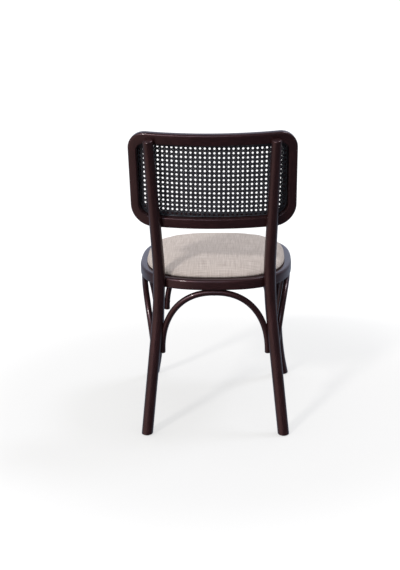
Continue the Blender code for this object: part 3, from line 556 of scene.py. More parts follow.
@dataclass(frozen=True)
class LinenWeave(Finish):
    """Plain-woven linen and cotton upholstery cloth, undyed oat.

    The eye gets a cross-hatch of threads with slubs in both directions, painted shading in the
    hollow between threads, and a faint pale bloom from the loose fibres at the edges.
    """

    name: str = "woven linen"
    slot: Slot = Slot.LINEN
    dark_slub_and_hollow_shading: str = "#9e938d"
    pale: str = "#c5bcb7"
    thread: float = 0.0022

    def lay_out(self, graph: Graph) -> Socket:
        """Two bands of waves at right angles make the weave, two stretched noises its slubs.

        Args:
            graph: the graph that the nodes go into.

        Returns:
            The shader.
        """
        # Real threads are about 0.7 mm apart, with slubs of 1 mm; both are drawn three to four
        # times as coarse so that they show.
        uneven = {"Distortion": 0.6, "Detail": 1.0, "Detail Scale": 0.6}
        waves = [graph.bands(graph.grain(), self.thread, axis, uneven) for axis in "XY"]
        slubs = [graph.noise(graph.grain(**drawn_out), 0.8 / self.thread, 2.0, 0.6)
                 for drawn_out in ({"x": 0.04}, {"y": 0.04})]
        weave, slub = graph.maths("MAXIMUM", *waves), graph.maths("ADD", *slubs)
        ground = graph.mix(graph.ramp(slub, 0.70, 1.24), self.dark_slub_and_hollow_shading, self.pale)
        # Painted shading: the hollows between threads are mixed up to 45 % towards the dark colour.
        colour = graph.mix(graph.ramp(weave, 0.25, 0.85, 0.45, 0.0), ground, self.dark_slub_and_hollow_shading)
        relief = graph.bump(graph.maths("MULTIPLY", weave, slub), 0.55, 0.0006)
        return graph.principled(colour, 0.92, {
            "IOR": 1.5, "Specular IOR Level": 0.25, "Sheen Weight": 0.12, "Sheen Roughness": 0.5,
            "Sheen Tint": linear(self.pale), "Normal": relief})


@dataclass(frozen=True)
class BirchPlywood(Finish):
    """Rotary-cut birch plywood, unfinished: pale faces with long waves of grain, and thin
    layers that alternate light and dark along the edge."""

    name: str = "birch plywood"
    slot: Slot = Slot.PLYWOOD
    pale: str = "#c9a77c"
    dark: str = "#8d6a45"
    layer: float = 0.0014

    def lay_out(self, graph: Graph) -> Socket:
        """Layers are bands in height, and the face grain is noise drawn out along Y.

        Args:
            graph: the graph that the nodes go into.

        Returns:
            The shader.
        """
        place = graph.place()
        layers = graph.bands(place, self.layer, "Z", {"Distortion": 0.4})
        drawn_out = graph.add("Mapping", {"Vector": place, "Scale": (1.0, 0.06, 1.0)}).outputs[0]
        figure = graph.noise(drawn_out, 260.0, 5.0, 0.6)
        colour = graph.mix(graph.maths("MULTIPLY", layers, figure), self.dark, self.pale)
        return graph.principled(colour, 0.75, {"IOR": 1.5, "Normal": graph.bump(figure, 0.3, 0.0004)})


@dataclass(frozen=True)
class BondedCloth(Finish):
    """Black spun-bonded polypropylene: a thin matt felt with an embossed grid of points."""

    name: str = "spun-bonded dust cloth"
    slot: Slot = Slot.DUST_CLOTH
    deep: str = "#121214"
    light: str = "#2b2b2e"
    point: float = 0.003

    def lay_out(self, graph: Graph) -> Socket:
        """The points are round cells on a grid, the felt is a fine noise.

        Args:
            graph: the graph that the nodes go into.

        Returns:
            The shader.
        """
        # The real bonding points are about 1 mm apart; drawn three times as coarse.
        pressed = graph.ramp(graph.cells(graph.grain(), self.point, 0.0), 0.15, 0.35)
        felt = graph.noise(graph.grain(), 900.0, 4.0)
        relief = graph.bump(graph.maths("ADD", pressed, felt), 0.5, 0.0002)
        return graph.principled(graph.mix(felt, self.deep, self.light), 0.85, {"IOR": 1.49, "Normal": relief})


@dataclass(frozen=True)
class Metal(Finish):
    """Machined steel, zinc-plated or browned: a mottled film and dull spots."""

    name: str = "zinc-plated steel"
    slot: Slot = Slot.STEEL
    bright: str = "#b9b8b4"
    dull: str = "#8a8a8c"
    roughness: float = 0.32

    def lay_out(self, graph: Graph) -> Socket:
        """A mottle changes colour and roughness together, and roughens the surface.

        Args:
            graph: the graph that the nodes go into.

        Returns:
            The shader.
        """
        mottle = graph.noise(graph.place(), 600.0, 4.0)
        rough = graph.ramp(mottle, first=self.roughness - 0.08, last=self.roughness + 0.14)
        return graph.principled(graph.mix(mottle, self.dull, self.bright), rough, {
            "Metallic": 1.0, "Normal": graph.bump(mottle, 0.12, 0.0001)})


@dataclass(frozen=True)
class MouldedNylon(Finish):
    """Dark brown moulded nylon: an even, slightly waxy plastic, scuffed where it slides."""

    name: str = "moulded nylon"
    slot: Slot = Slot.GLIDES
    body: str = "#1c1512"
    scuff: str = "#3c332e"

    def lay_out(self, graph: Graph) -> Socket:
        """Scuffs are a sharp noise that lightens and roughens the surface.

        Args:
            graph: the graph that the nodes go into.

        Returns:
            The shader.
        """
        scuffs = graph.noise(graph.place(), 420.0, 6.0, 0.7)
        amount = graph.ramp(scuffs, 0.52, 0.75)
        colour, rough = graph.mix(amount, self.body, self.scuff), graph.ramp(amount, first=0.42, last=0.7)
        return graph.principled(colour, rough, {"IOR": 1.53, "Normal": graph.bump(scuffs, 0.15, 0.0001)})


BEECH = StainedBeech()
CANE = StainedCane()
LINEN = LinenWeave()
PLYWOOD = BirchPlywood()
DUST_CLOTH = BondedCloth()
ZINC = Metal()
BROWNED = Metal("browned steel", Slot.STEEL, "#3b2f28", "#221a16", 0.42)
NYLON = MouldedNylon()


def dress(obj: bpy.types.Object, finish: Finish) -> None:
    """Give an object one finish all over."""
    obj.data.materials.clear()
    obj.data.materials.append(finish.material())


def settle(piece: bpy.types.Object, finish: Finish, *nodes: str) -> bpy.types.Object:
    """Dress a finished piece, let it ride on the chair and stand for its CAD nodes.

    Args:
        piece: the piece, with its place in its mesh.
        finish: its finish, which knows the record's slot.
        nodes: the CAD nodes that it replaces.

    Returns:
        The piece.
    """
    dress(piece, finish)
    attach(piece, "root")
    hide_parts(*nodes)
    LOG.info("%s: %d faces, stands for %s", piece.name, len(piece.data.polygons), ", ".join(nodes))
    return piece


# The seat


@dataclass
class SeatPlan:
    """The seat's plan: a superellipse, a little squarer in front than behind."""

    half_width: float = 0.2195
    rear_reach: float = 0.232
    front_reach: float = 0.2155
    widest_y: float = -0.0398
    rear_squareness: float = 2.65
    front_squareness: float = 2.95

    @property
    def middle(self) -> Array:
        """The plan's middle, at height 0."""
        return np.array([0.0, self.widest_y, 0.0])

    def edge(self, turn: Array) -> tuple[Array, Array]:
        """Points where (|x| / a)^p + (|y| / b)^p = 1, and the outward direction there.

        Args:
            turn: angles from +X round the middle of the plan, in radians.

        Returns:
            Level points at height 0 and unit directions, both with three columns.
        """
        c, s = np.cos(turn), np.sin(turn)
        reach = np.where(s > 0, self.rear_reach, self.front_reach)
        power = np.where(s > 0, self.rear_squareness, self.front_squareness)
        scale = (np.abs(c / self.half_width) ** power + np.abs(s / reach) ** power) ** (-1.0 / power)
        x, y = scale * c, scale * s
        out = unit(abreast(np.copysign(np.abs(x) ** (power - 1.0) / self.half_width ** power, x),
                           np.copysign(np.abs(y) ** (power - 1.0) / reach ** power, y), 0.0))
        return abreast(x, y + self.widest_y, 0.0), out

    def edge_at(self, x: float, rear: bool) -> tuple[Array, Array]:
        """The point of the left edge that has the x given, and the outward direction there."""
        turns = np.linspace(0.0, math.pi / 2, 4001) * (1.0 if rear else -1.0)
        return self.edge(np.interp(-x, -self.edge(turns)[0][:, 0], turns))

    def disc(self, cells: int) -> tuple[Array, Array]:
        """A square grid drawn into a disc: x = s sqrt(1 - t^2 / 2), y = t sqrt(1 - s^2 / 2).

        Args:
            cells: the cells along each side of the square.

        Returns:
            Each grid point's turn, and its share of the way from the middle to the edge.
        """
        steps = np.linspace(-1.0, 1.0, cells + 1)
        s, t = np.meshgrid(steps, steps, indexing="ij")
        x, y = s * np.sqrt(1.0 - t ** 2 / 2.0), t * np.sqrt(1.0 - s ** 2 / 2.0)
        return np.arctan2(y, x), np.hypot(x, y)


PLAN = SeatPlan()


@dataclass
class SeatRing:
    """The bent hoop: rounded outside, with a rebate and a lip inside for the pad."""

    bottom: float = 0.4125
    height: float = 0.030
    top: float = bottom + height
    rim: float = 0.024
    lip: float = 0.012
    width: float = rim + lip
    lip_height: float = 0.013
    top_rounding: float = 0.008
    bottom_rounding: float = 0.005
    bevel: float = 0.002
    lip_bevel: float = 0.001
    fillet: float = 0.0005
    steps: int = 320

    @staticmethod
    def corner(inset: float, up: float, radius: float, start: float, steps: int) -> Array:
        """A quarter of a circle round a point, as (inset, height) rows."""
        return np.array([inset, up]) + arc(start, start + 90.0, steps) * radius * np.array([-1.0, 1.0])

    def section(self) -> Array:
        """The profile as (inset from the outer edge, height over the ring's bottom) points.

        Returns:
            Rows of inset and height, once round the section.
        """
        h, top, low, b, e = self.height, self.top_rounding, self.bottom_rounding, self.bevel, self.lip_bevel
        return np.concatenate([
            self.corner(low, low, low, 270.0, 6),
            self.corner(top, h - top, top, 0.0, 8),
            self.corner(self.rim - b, h - b, b, 90.0, 4),
            [[self.rim, self.lip_height + self.fillet], [self.rim + self.fillet, self.lip_height]],
            self.corner(self.width - e, self.lip_height - e, e, 90.0, 3),
            self.corner(self.width - b, b, b, 180.0, 4)])

    def build(self) -> None:
        """Carry the section round the plan: point = edge - out * inset, at its height."""
        turns = np.linspace(0.0, 2.0 * math.pi, 4001)
        walked = lengths_along(PLAN.edge(turns)[0])
        turn = np.interp(np.linspace(0.0, walked[-1], self.steps, endpoint=False), walked, turns)
        edge, out = PLAN.edge(turn)
        section = self.section()
        points = edge[:, None] - out[:, None] * section[:, :1]
        points[..., 2] = self.bottom + section[:, 1]
        grain = abreast(section[:, 0], section[:, 1], lengths_along(edge)[:, None])
        piece = make_piece("bent_seat_ring", [Surface(points, grain, closed_along=True)])
        settle(piece, BEECH, "seat_ring")


RING = SeatRing()


@dataclass
class SeatPad:
    """The upholstered seat: linen over foam, turned in under a plywood board."""

    fabric: float = 0.0015
    hem: float = 0.0032
    board: float = 0.010
    crown: float = 0.037
    squareness: float = 2.85
    bulge: float = 0.006
    cells: int = 76
    slack: float = 0.0022
    most_swell: float = 0.006
    pressure: float = 4.0
    frames: int = 20
    held_to: float = 0.004
    turn_weight: float = 0.010
    drape: float = 0.6
    cloth: float = 0.0008
    cloth_lap: float = 0.003
    cloth_sag: float = 0.0006
    cloth_fold: float = 0.00012
    cloth_folds: float = 9.0
    inset: float = RING.rim + GAP
    floor: float = RING.bottom + RING.lip_height + GAP
    board_bottom: float = floor + fabric + GAP

    def skin(self, crown: float) -> Array:
        """The outer profile from the middle to the hem's end, as (share, inset, height) rows.

        The crown is height = ring top + crown * rise, with rise = (1 - share^p)^(1/p), and it
        swells over the ring by bulge * sin(pi sqrt(rise)). Below it the fabric goes straight
        down, turns a small corner and lies flat to the end of its hem.

        Args:
            crown: how high the middle rises over the ring.

        Returns:
            The profile's rows.
        """
        turn, power = np.linspace(0.0, math.pi / 2, 200), 2.0 / self.squareness
        rise = np.cos(turn) ** power
        swell = self.bulge * np.sin(math.pi * np.sqrt(rise))
        corner = self.fabric / 2
        bend = corner - arc(0.0, 90.0, 4)[1:] * corner
        return np.concatenate([
            abreast(np.sin(turn) ** power, self.inset - swell, RING.top + crown * rise),
            abreast(1.0, self.inset, np.linspace(RING.top, self.floor + corner, 12)[1:]),
            abreast(1.0, self.inset + bend[:, 0], self.floor + bend[:, 1]),
            abreast(1.0, self.inset + np.array([self.hem / 2 + corner, self.hem]), self.floor)])

    def lining(self) -> Array:
        """The inner profile: flat on the board, down its edge, and back under its rim.

        Returns:
            (share, inset, height) rows.
        """
        top, low = self.board_bottom + self.board + GAP, self.floor + self.fabric
        inner = self.inset + self.fabric
        return np.concatenate([
            abreast(np.linspace(0.0, 1.0, 30), inner, top),
            abreast(1.0, inner, np.linspace(top, low, 8)[1:]), [[1.0, self.inset + self.hem, low]]])

    def spread(self, profile: Array, share: Array) -> Array:
        """Spread a profile over shares from 0 to 1, closer together where it bends.

        The spacing follows length + turn_weight for each radian of turning.

        Args:
            profile: (share, inset, height) rows.
            share: where to read the profile, as shares of its way.

        Returns:
            A row of the profile for each share.
        """
        radius = 0.5 * (PLAN.half_width + PLAN.rear_reach)
        steps = np.diff(abreast(profile[:, 0] * (radius - profile[:, 1]), profile[:, 2]), axis=0)
        weight = np.linalg.norm(steps, axis=1)
        weight[1:] += self.turn_weight * np.abs(np.diff(np.unwrap(np.arctan2(steps[:, 1], steps[:, 0]))))
        walked = np.concatenate(([0.0], np.cumsum(weight)))
        return read_off(share, walked / walked[-1], profile)

    def laid(self, profile: Array) -> tuple[Array, Array]:
        """Lay a profile over the plan's disc grid.

        Args:
            profile: (share, inset, height) rows from the middle outwards.

        Returns:
            The grid's points, and where each lies on the cloth before it was stretched over.
        """
        turn, share = PLAN.disc(self.cells)
        row = self.spread(profile, share)
        edge, out = PLAN.edge(turn)
        points = PLAN.middle + (edge - out * row[..., 1:2] - PLAN.middle) * row[..., :1]
        points[..., 2] = row[..., 2]
        drop = RING.top + self.crown - row[..., 2]
        flat = np.hypot(points[..., 0], points[..., 1] - PLAN.widest_y) + self.drape * drop
        return points, abreast(np.cos(turn) * flat, np.sin(turn) * flat, 0.0)

    def swollen(self, points: Array, cloth: Array) -> Array:
        """Blow the fabric up a little under cloth simulation, held all round its lower part.

        The distance that each point moves is capped, and the whole is scaled so that the
        crown ends at its real height.

        Args:
            points: the skin's grid of points.
            cloth: their places on the flat cloth.

        Returns:
            The grid of points under pressure.
        """
        skin = Surface(points, cloth, closed_round=False, solid=False)
        shape = make_piece("pad skin under pressure", [skin])
        held = np.flatnonzero(points[..., 2] < RING.top + self.held_to).tolist()
        shape.vertex_groups.new(name="held").add(held, 1.0, "REPLACE")
        modifier = shape.modifiers.new("cloth", "CLOTH")
        for key, value in {
                "quality": 5, "mass": 0.3, "tension_stiffness": 8.0, "compression_stiffness": 8.0,
                "shear_stiffness": 4.0, "bending_stiffness": 0.4, "use_pressure": True,
                "uniform_pressure_force": self.pressure, "vertex_group_mass": "held"}.items():
            setattr(modifier.settings, key, value)
        modifier.settings.effector_weights.gravity = 0.0
        modifier.point_cache.frame_start = 1
        modifier.point_cache.frame_end = self.frames
        for number in range(1, self.frames + 1):
            bpy.context.scene.frame_set(number)
        settled = shape.evaluated_get(bpy.context.evaluated_depsgraph_get()).data
        after = np.empty(len(settled.vertices) * 3)
        settled.vertices.foreach_get("co", after)
        bpy.context.scene.frame_set(1)
        bpy.data.objects.remove(shape, do_unlink=True)
        moved = after.reshape(points.shape) - points
        reach = np.linalg.norm(moved, axis=2, keepdims=True)
        moved *= np.minimum(1.0, self.most_swell / np.maximum(reach, 1e-9))
        crown = points[..., 2].max()
        lift = float((points + moved)[..., 2].max() - crown)
        LOG.info("cloth: %.1f mm of swell at the crown, %.1f mm at most", lift * 1000, reach.max() * 1000)
        return points + moved * min(2.0, max(0.3, (RING.top + self.crown - crown) / max(lift, 1e-6)))

    def build_cushion(self) -> None:
        """Join the swollen skin and the flat lining round the hem into one closed pad."""
        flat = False
        points, cloth = self.laid(self.skin(self.crown if flat else self.crown - self.slack))
        if not flat:
            points = self.swollen(points, cloth)
        piece = make_envelope("linen_seat_pad", (points, cloth), self.laid(self.lining()))
        smooth = piece.modifiers.new("rounding", "SUBSURF")
        smooth.levels = smooth.render_levels = 1
        settle(piece, LINEN, "seat_cover", "seat_foam")

    def build_dust_cloth(self) -> None:
        """A thin sheet under the board: height = middle - sag (1 - share^2), with faint folds."""
        inset = RING.width - self.cloth_lap
        turn, share = PLAN.disc(48)
        edge, out = PLAN.edge(turn)
        points = PLAN.middle + (edge - out * inset - PLAN.middle) * share[..., None]
        folds = self.cloth_fold * np.sin(self.cloth_folds * turn + 2.0) * share ** 3 * (1.0 - share ** 8)
        points[..., 2] = self.board_bottom - GAP - self.cloth - self.cloth_sag * (1.0 - share ** 2) + folds
        piece = make_envelope("black_dust_cloth", (points + UP * self.cloth, points), (points, points))
        settle(piece, DUST_CLOTH, "seat_dust_cloth")
        rim, out = PLAN.edge(np.linspace(0.0, 2.0 * math.pi, 400, endpoint=False))


# The back


@dataclass
class BackShape:
    """The back's curved, leaning middle surface, on which its pieces are measured."""

    centre_y: float = 0.2138
    centre_z: float = 0.7237
    lean: float = math.radians(12.5)
    radius: float = 0.8367
    half_width: float = 0.2258
    half_height: float = 0.1375
    thickness: float = 0.022
    side_rail: float = 0.025
    cross_rail: float = 0.031
    top_corner: float = 0.048
    bottom_corner: float = 0.061

    def place(self, across: Array | float, up: Array | float, behind: Array | float) -> Array:
        """A place on the back: radius + behind round a leaning axis, by the angle across / radius.

        Args:
            across: the distance along the curve, + to the sitter's left.
            up: the distance up the slope from the back's middle.
            behind: the distance behind the middle surface.

        Returns:
            Points with three columns.
        """
        angle, reach = np.asarray(across) / self.radius, self.radius + behind
        backwards = reach * np.cos(angle) - self.radius
        y = self.centre_y + backwards * math.cos(self.lean) + up * math.sin(self.lean)
        z = self.centre_z - backwards * math.sin(self.lean) + up * math.cos(self.lean)
        return abreast(reach * np.sin(angle), y, z)

    def outline(self, side: float, cross: float) -> Array:
        """The back's rounded rectangle, drawn in, with equally many points for every size.

        Args:
            side: how far the sides and corners are drawn in.
            cross: how far the top and bottom are.

        Returns:
            (across, up) rows.
        """
        width, height = self.half_width - side, self.half_height - cross
        top, bottom = self.top_corner - side, self.bottom_corner - side
        corners = [np.array([sx * (width - radius), sy * (height - radius)])
                   + radius * arc(start, start + 90.0, 20)
                   for sx, sy, radius, start in ((1, 1, top, 0.0), (-1, 1, top, 90.0),
                                                 (-1, -1, bottom, 180.0), (1, -1, bottom, 270.0))]
        runs = []
        for here, after, steps in zip(corners, corners[1:] + corners[:1], (60, 30, 60, 30)):
            share = np.linspace(0.0, 1.0, steps + 1)[1:-1, None]
            runs += [here, here[-1] + (after[0] - here[-1]) * share]
        return np.concatenate(runs)

    def outer(self, shrink: float) -> Array:
        """The frame's outer edge, drawn in by the amount given."""
        return self.outline(shrink, shrink)

    def opening(self, grow: float) -> Array:
        """The frame's opening, grown outwards by the amount given."""
        return self.outline(self.side_rail - grow, self.cross_rail - grow)

    def inside(self, across: Array, up: Array, grow: float) -> Array:
        """How far a place lies outside the rounded opening, negative inside it.

        Args:
            across: the distance along the curve.
            up: the distance up the slope.
            grow: how far the opening is grown outwards.

        Returns:
            The distances.
        """
        corner = np.where(up > 0, self.top_corner, self.bottom_corner) - self.side_rail + grow
        x = np.abs(across) - (self.half_width - self.side_rail + grow - corner)
        y = np.abs(up) - (self.half_height - self.cross_rail + grow - corner)
        return np.hypot(np.maximum(x, 0.0), np.maximum(y, 0.0)) + np.minimum(np.maximum(x, y), 0.0) - corner


BACK = BackShape()


@dataclass
class BackFrame:
    """The bent frame: softly rounded rails, and a thin lip in front that carries the cane.

    Its seat is how far behind the middle surface the lip's rear face lies.
    """

    outer_rounding: float = 0.008
    rear_rounding: float = 0.006
    inner_rounding: float = 0.004
    lip_rounding: float = 0.002
    lip_width: float = 0.010
    lip: float = 0.004
    fillet: float = 0.0004
    seat: float = lip - BACK.thickness / 2

    def rows(self) -> list[tuple[Array, float]]:
        """The rail's section, each point as an outline and how far behind it lies.

        Returns:
            An outline and its distance behind the middle surface, for each point.
        """
        half, lip = BACK.thickness / 2, -self.lip_width
        rear, big, thin, small = (
            self.rear_rounding, self.outer_rounding, self.lip_rounding, self.inner_rounding)
        return [
            *((BACK.outer(rear - rear * c), half - rear + rear * s) for c, s in arc(90.0, 0.0, 8)),
            *((BACK.outer(big - big * c), big - half + big * s) for c, s in arc(0.0, -90.0, 8)),
            *((BACK.opening(thin + lip - thin * c), thin - half - thin * s) for c, s in arc(90.0, 0.0, 4)),
            (BACK.opening(lip), self.seat - self.fillet),
            (BACK.opening(lip + self.fillet), self.seat),
            (BACK.opening(0.0), self.seat),
            *((BACK.opening(small - small * c), half - small + small * s) for c, s in arc(0.0, 90.0, 6))]

    def build(self) -> None:
        """Carry the rail's section round the outline; each row of the section is its own outline."""
        rows = self.rows()
        places = np.stack([BACK.place(*line.T, behind) for line, behind in rows], axis=1)
        lines = np.stack([line for line, _ in rows], axis=1)
        core = lengths_along(BACK.place(*BACK.outer(BACK.side_rail / 2).T, 0.0))
        from_edge = np.linalg.norm(lines - BACK.outer(0.0)[:, None], axis=2)
        grain = abreast(from_edge, np.array([behind for _, behind in rows]), core[:, None] + 3.0)
        piece = make_piece("bent_back_frame", [Surface(places, grain, closed_along=True)])
        settle(piece, BEECH, "back_frame")


FRAME = BackFrame()


class Run(Enum):
    """The directions in which the strands run: one mesh along, one strand further across, the steps
    along a strand, and the piece's name."""

    UPRIGHT = ((0.0, 1.0), (1.0, 0.0), 160, "cane_upright_pairs")
    LEVEL = ((1.0, 0.0), (0.0, 1.0), 300, "cane_level_pairs")
    RISING = ((1.0, 1.0), (0.5, -0.5), 160, "cane_rising_diagonals")
    FALLING = ((1.0, -1.0), (0.5, 0.5), 160, "cane_falling_diagonals")


@dataclass
class CaneWebbing:
    """Six-way cane: pairs of upright and level strands, and single strands on both diagonals.

    Places in the weave are counted in meshes. A hole lies at every whole number, the pairs run
    halfway between the holes, and the diagonals cross on the pairs, level with the holes. That
    leaves each hole with eight sides. Behind is how far behind the back's middle surface the
    webbing's own middle lies.
    """

    pitch_across: float = 0.01269
    pitch_up: float = 0.01298
    hole: tuple[float, float] = (0.0089, 0.0030)
    turn: float = math.radians(1.1)
    pair: float = 0.0037
    width: float = 0.0034
    thickness: float = 0.0005
    pair_wave: float = 0.00030
    diagonal_wave: float = 0.00050
    least_depth: float = 0.002
    sway: float = 0.00012
    uneven: float = 0.03
    seed: int = 7
    behind: float = FRAME.seat + GAP + diagonal_wave + thickness / 2

    def laid(self, meshes: Array) -> Array:
        """Places counted in meshes as (across, up) on the back, where the weave is turned a little.

        Args:
            meshes: places counted in meshes.

        Returns:
            The same places in metres.
        """
        c, s = math.cos(self.turn), math.sin(self.turn)
        x, y = meshes[..., 0] * self.pitch_across, meshes[..., 1] * self.pitch_up
        return abreast(x * c - y * s, x * s + y * c) + np.array(self.hole)

    def depth(self, meshes: Array) -> Array:
        """How far places lie outside the opening, negative inside it."""
        places = self.laid(meshes)
        return BACK.inside(places[..., 0], places[..., 1], -GAP)

    def numbers(self, run: Run) -> tuple[Array, Array]:
        """Each strand's place in the count across its run, and the sense in which it weaves.

        Args:
            run: the strands' direction.

        Returns:
            The counts, and -1 or 1 for each strand.
        """
        middle = np.arange(-26, 27) + 0.5
        if run in (Run.RISING, Run.FALLING):
            return middle, np.full(len(middle), -1.0 if run is Run.RISING else 1.0)
        half = 0.5 * self.pair / (self.pitch_across if run is Run.UPRIGHT else self.pitch_up)
        return np.concatenate([middle - half, middle + half]), np.repeat([-1.0, 1.0], len(middle))

    def end(self, feet: Array, heading: Array) -> Array:
        """How many headings each strand reaches from its foot to the opening's edge, by halving.

        Args:
            feet: a place inside the opening on each strand.
            heading: the direction in which they run.

        Returns:
            The reach of each strand.
        """
        near, far = np.zeros(len(feet)), np.full(len(feet), 50.0)
        for _ in range(40):
            middle = (near + far) / 2
            out = self.depth(feet + middle[:, None] * heading) > 0.0
            near, far = np.where(out, near, middle), np.where(out, middle, far)
        return near

    def lift(self, run: Run, meshes: Array, sense: Array) -> Array:
        """How far behind the webbing's middle a strand rides.

        Of each pair one strand goes over where the other goes under, by tanh(2 sin) of the
        place along it. A diagonal goes over one kind of pair and under the other, by a cosine.

        Args:
            run: the strands' direction.
            meshes: places along the strands.
            sense: -1 or 1 for each strand.

        Returns:
            The distances.
        """
        x, y = 2.0 * math.pi * meshes[..., 0], 2.0 * math.pi * meshes[..., 1]
        if run is Run.UPRIGHT:
            return -self.pair_wave * sense * np.tanh(2.0 * np.sin(y))
        if run is Run.LEVEL:
            return self.pair_wave * sense * np.tanh(2.0 * np.sin(x))
        return self.diagonal_wave * sense * np.cos(x)

    def strands(self, run: Run) -> list[Surface]:
        """The strands of one direction, each a flat six-sided section carried along its line.

        Args:
            run: the strands' direction.

        Returns:
            A closed surface for each strand.
        """
        rng = np.random.default_rng(self.seed + list(Run).index(run))
        heading, stride = (np.array(part) for part in run.value[:2])
        number, sense = self.numbers(run)
        tried = (number[:, None] * stride)[:, None] + np.linspace(-30.0, 30.0, 601)[:, None] * heading
        depth = self.depth(tried)
        inside = depth.min(axis=1) < -self.least_depth
        feet = tried[np.arange(len(number)), depth.argmin(axis=1)][inside]
        low, high = -self.end(feet, -heading), self.end(feet, heading)
        walked = low[:, None] + (high - low)[:, None] * np.linspace(0.0, 1.0, run.value[2] + 1)
        meshes = feet[:, None] + walked[..., None] * heading
        stretch = self.laid(heading) - self.laid(np.zeros(2))
        length = float(np.linalg.norm(stretch))
        sideways = np.array([-stretch[1], stretch[0]]) / length
        sway = rng.normal(0.0, self.sway, (len(feet), 3))
        drift = sway[:, :1] + sway[:, 1:2] * np.sin(0.5 * walked + 900.0 * sway[:, 2:])
        line = self.laid(meshes) + drift[..., None] * sideways
        half, thick = self.width / 2, self.thickness / 2
        section = np.array([[-half, -0.3 * thick], [-0.6 * half, -thick], [0.6 * half, -thick],
                            [half, -0.3 * thick], [0.62 * half, thick], [-0.62 * half, thick]])
        side = section[:, 0] * rng.normal(1.0, self.uneven, (len(feet), 1, 1))
        place = line[:, :, None] + side[..., None] * sideways
        rise = self.behind + self.lift(run, meshes, sense[inside, None])[:, :, None] + section[:, 1]
        points = BACK.place(place[..., 0], place[..., 1], rise)
        lane = side + 0.02 * np.arange(len(feet))[:, None, None]
        grain = abreast(lane, section[:, 1], walked[:, :, None] * length)
        return [Surface(strand, lay, start=strand[0].mean(axis=0), end=strand[-1].mean(axis=0))
                for strand, lay in zip(points, grain)]

    def build(self) -> None:
        """Make one piece for each direction of strands."""
        for run in Run:
            settle(make_piece(run.value[3], self.strands(run)), CANE, "cane_webbing")


@dataclass
class CaneReed:
    """The split reed that wedges the webbing's edge into the frame, over the depth of the webbing."""

    radius: float = 0.0014
    webbing: float = 0.0016

    def build(self) -> None:
        """A round rod carried round the opening's edge."""
        behind = FRAME.seat + GAP + self.webbing + GAP + self.radius
        line = BACK.opening(-GAP - self.radius).T
        path = BACK.place(*line, behind)
        normal = BACK.place(*line, behind + 0.01) - path
        rod = bar(path, np.full(len(path), self.radius), normal, sides=12, closed=True)
        settle(make_piece("split_reed", [rod]), CANE, "cane_reed")


# Legs and arches


@dataclass
class Leg:
    """What all legs share: a bent bar that stands on a level, chamfered foot over its glide."""

    radius: float
    foot: float = 0.0025
    chamfer: float = 0.0018
    foot_rows: float = 0.0002
    path: Array = field(init=False)

    def standing(self, path: Array, radii: Array, head: Array, end: Array, lead: float) -> Surface:
        """The leg's bar.

        Args:
            path: the centre line from the foot up.
            radii: the radius at each of its points.
            head: rows of x, y, z and radius that go on from there to the leg's end.
            end: the pole that closes the last of them.
            lead: how far the grain is shifted along.

        Returns:
            The left leg's surface.
        """
        ease = 1.0 - arc(0.0, 90.0, 4)
        along = unit(path[1] - path[0])
        foot = path[0] + along * np.linspace(0.0, self.foot_rows, len(ease))[:, None]
        sizes = np.concatenate([radii[0] - self.chamfer * ease[:, 1], radii[3:], head[:, 3]])
        surface = bar(np.concatenate([foot, path[3:], head[:, :3]]), sizes, (1.0, 0.0, 0.0), sides=40,
                      lead=lead, start=path[0], end=end)
        level_rows(surface, range(len(ease)), self.foot + self.chamfer * ease[:, 0], along)
        return surface


@dataclass
class RearLeg(Leg):
    """One bent bar from the floor to the top of the back, with an eased end."""

    radius: float = 0.016
    seat_radius: float = 0.017
    top_radius: float = 0.014
    taper: float = 0.100
    foot_inset: float = 0.0269
    foot_splay: float = 0.0460
    seat_inset: float = 0.0695
    cove_in_ring: float = 0.005
    cove_in_back: float = 0.004
    lower_bend: float = 0.350
    lower_reach: float = 0.040
    upper_reach: float = 0.055
    bottom_inset: float = 0.0715
    top_inset: float = 0.0612
    top_drop: float = 0.029
    end_rounding: float = 0.0042
    end_rise: tuple[float, float] = (0.0002, 0.0003)
    seat: Array = field(init=False)
    out: Array = field(init=False)

    def __post_init__(self) -> None:
        """Work out the left leg's centre line."""
        edge, self.out = PLAN.edge_at(PLAN.half_width - self.seat_inset, rear=True)
        self.seat = edge + self.out * (self.seat_radius - self.cove_in_ring)
        behind = BACK.thickness / 2 - self.cove_in_back
        low = BACK.place(BACK.half_width - self.bottom_inset, -BACK.half_height, behind + self.radius)
        top = BACK.place(BACK.half_width - self.top_inset, BACK.half_height - self.top_drop,
                         behind + self.top_radius)
        upper = low + (top - low) * (self.seat[1] - low[1]) / (top[1] - low[1])
        lower = np.array([self.seat[0], self.seat[1], self.lower_bend])
        foot = np.array([PLAN.half_width - self.foot_inset,
                         PLAN.widest_y + PLAN.rear_reach + self.foot_splay, self.foot])
        self.path = bent_path((foot, lower, upper, top), (self.lower_reach, self.upper_reach))

    def radius_at(self, height: Array) -> Array:
        """The radius is largest at the seat and smallest at the top, and straight between.

        Args:
            height: heights over the floor.

        Returns:
            The radii there.
        """
        top = BACK.place(0.0, BACK.half_height, 0.0)[2]
        heights = (0.0, RING.bottom - self.taper, RING.top, BACK.centre_z - BACK.half_height, top)
        sizes = (self.radius, self.radius, self.seat_radius, self.radius, self.top_radius)
        return np.interp(height, heights, sizes)

    def surfaces(self, side: float) -> list[Surface]:
        """The bar, with its top cut square and the edge there rounded over.

        Args:
            side: 1 for the sitter's left, -1 for the right.

        Returns:
            The leg's surfaces.
        """
        path, radii, e = self.path, self.radius_at(self.path[:, 2]), self.end_rounding
        along, top = unit(path[-1] - path[-2]), radii[-1]
        bend = top - e + np.concatenate([arc(0.0, 90.0, 10) * e, [[-0.5 * (top - e), e + self.end_rise[0]]]])
        head = np.hstack([path[-1] + bend[:, 1:] * along, bend[:, :1]])
        end = path[-1] + along * (top + self.end_rise[1])
        return [self.standing(path, radii, head, end, 0.7 * (1.5 + side)).mirrored(side)]


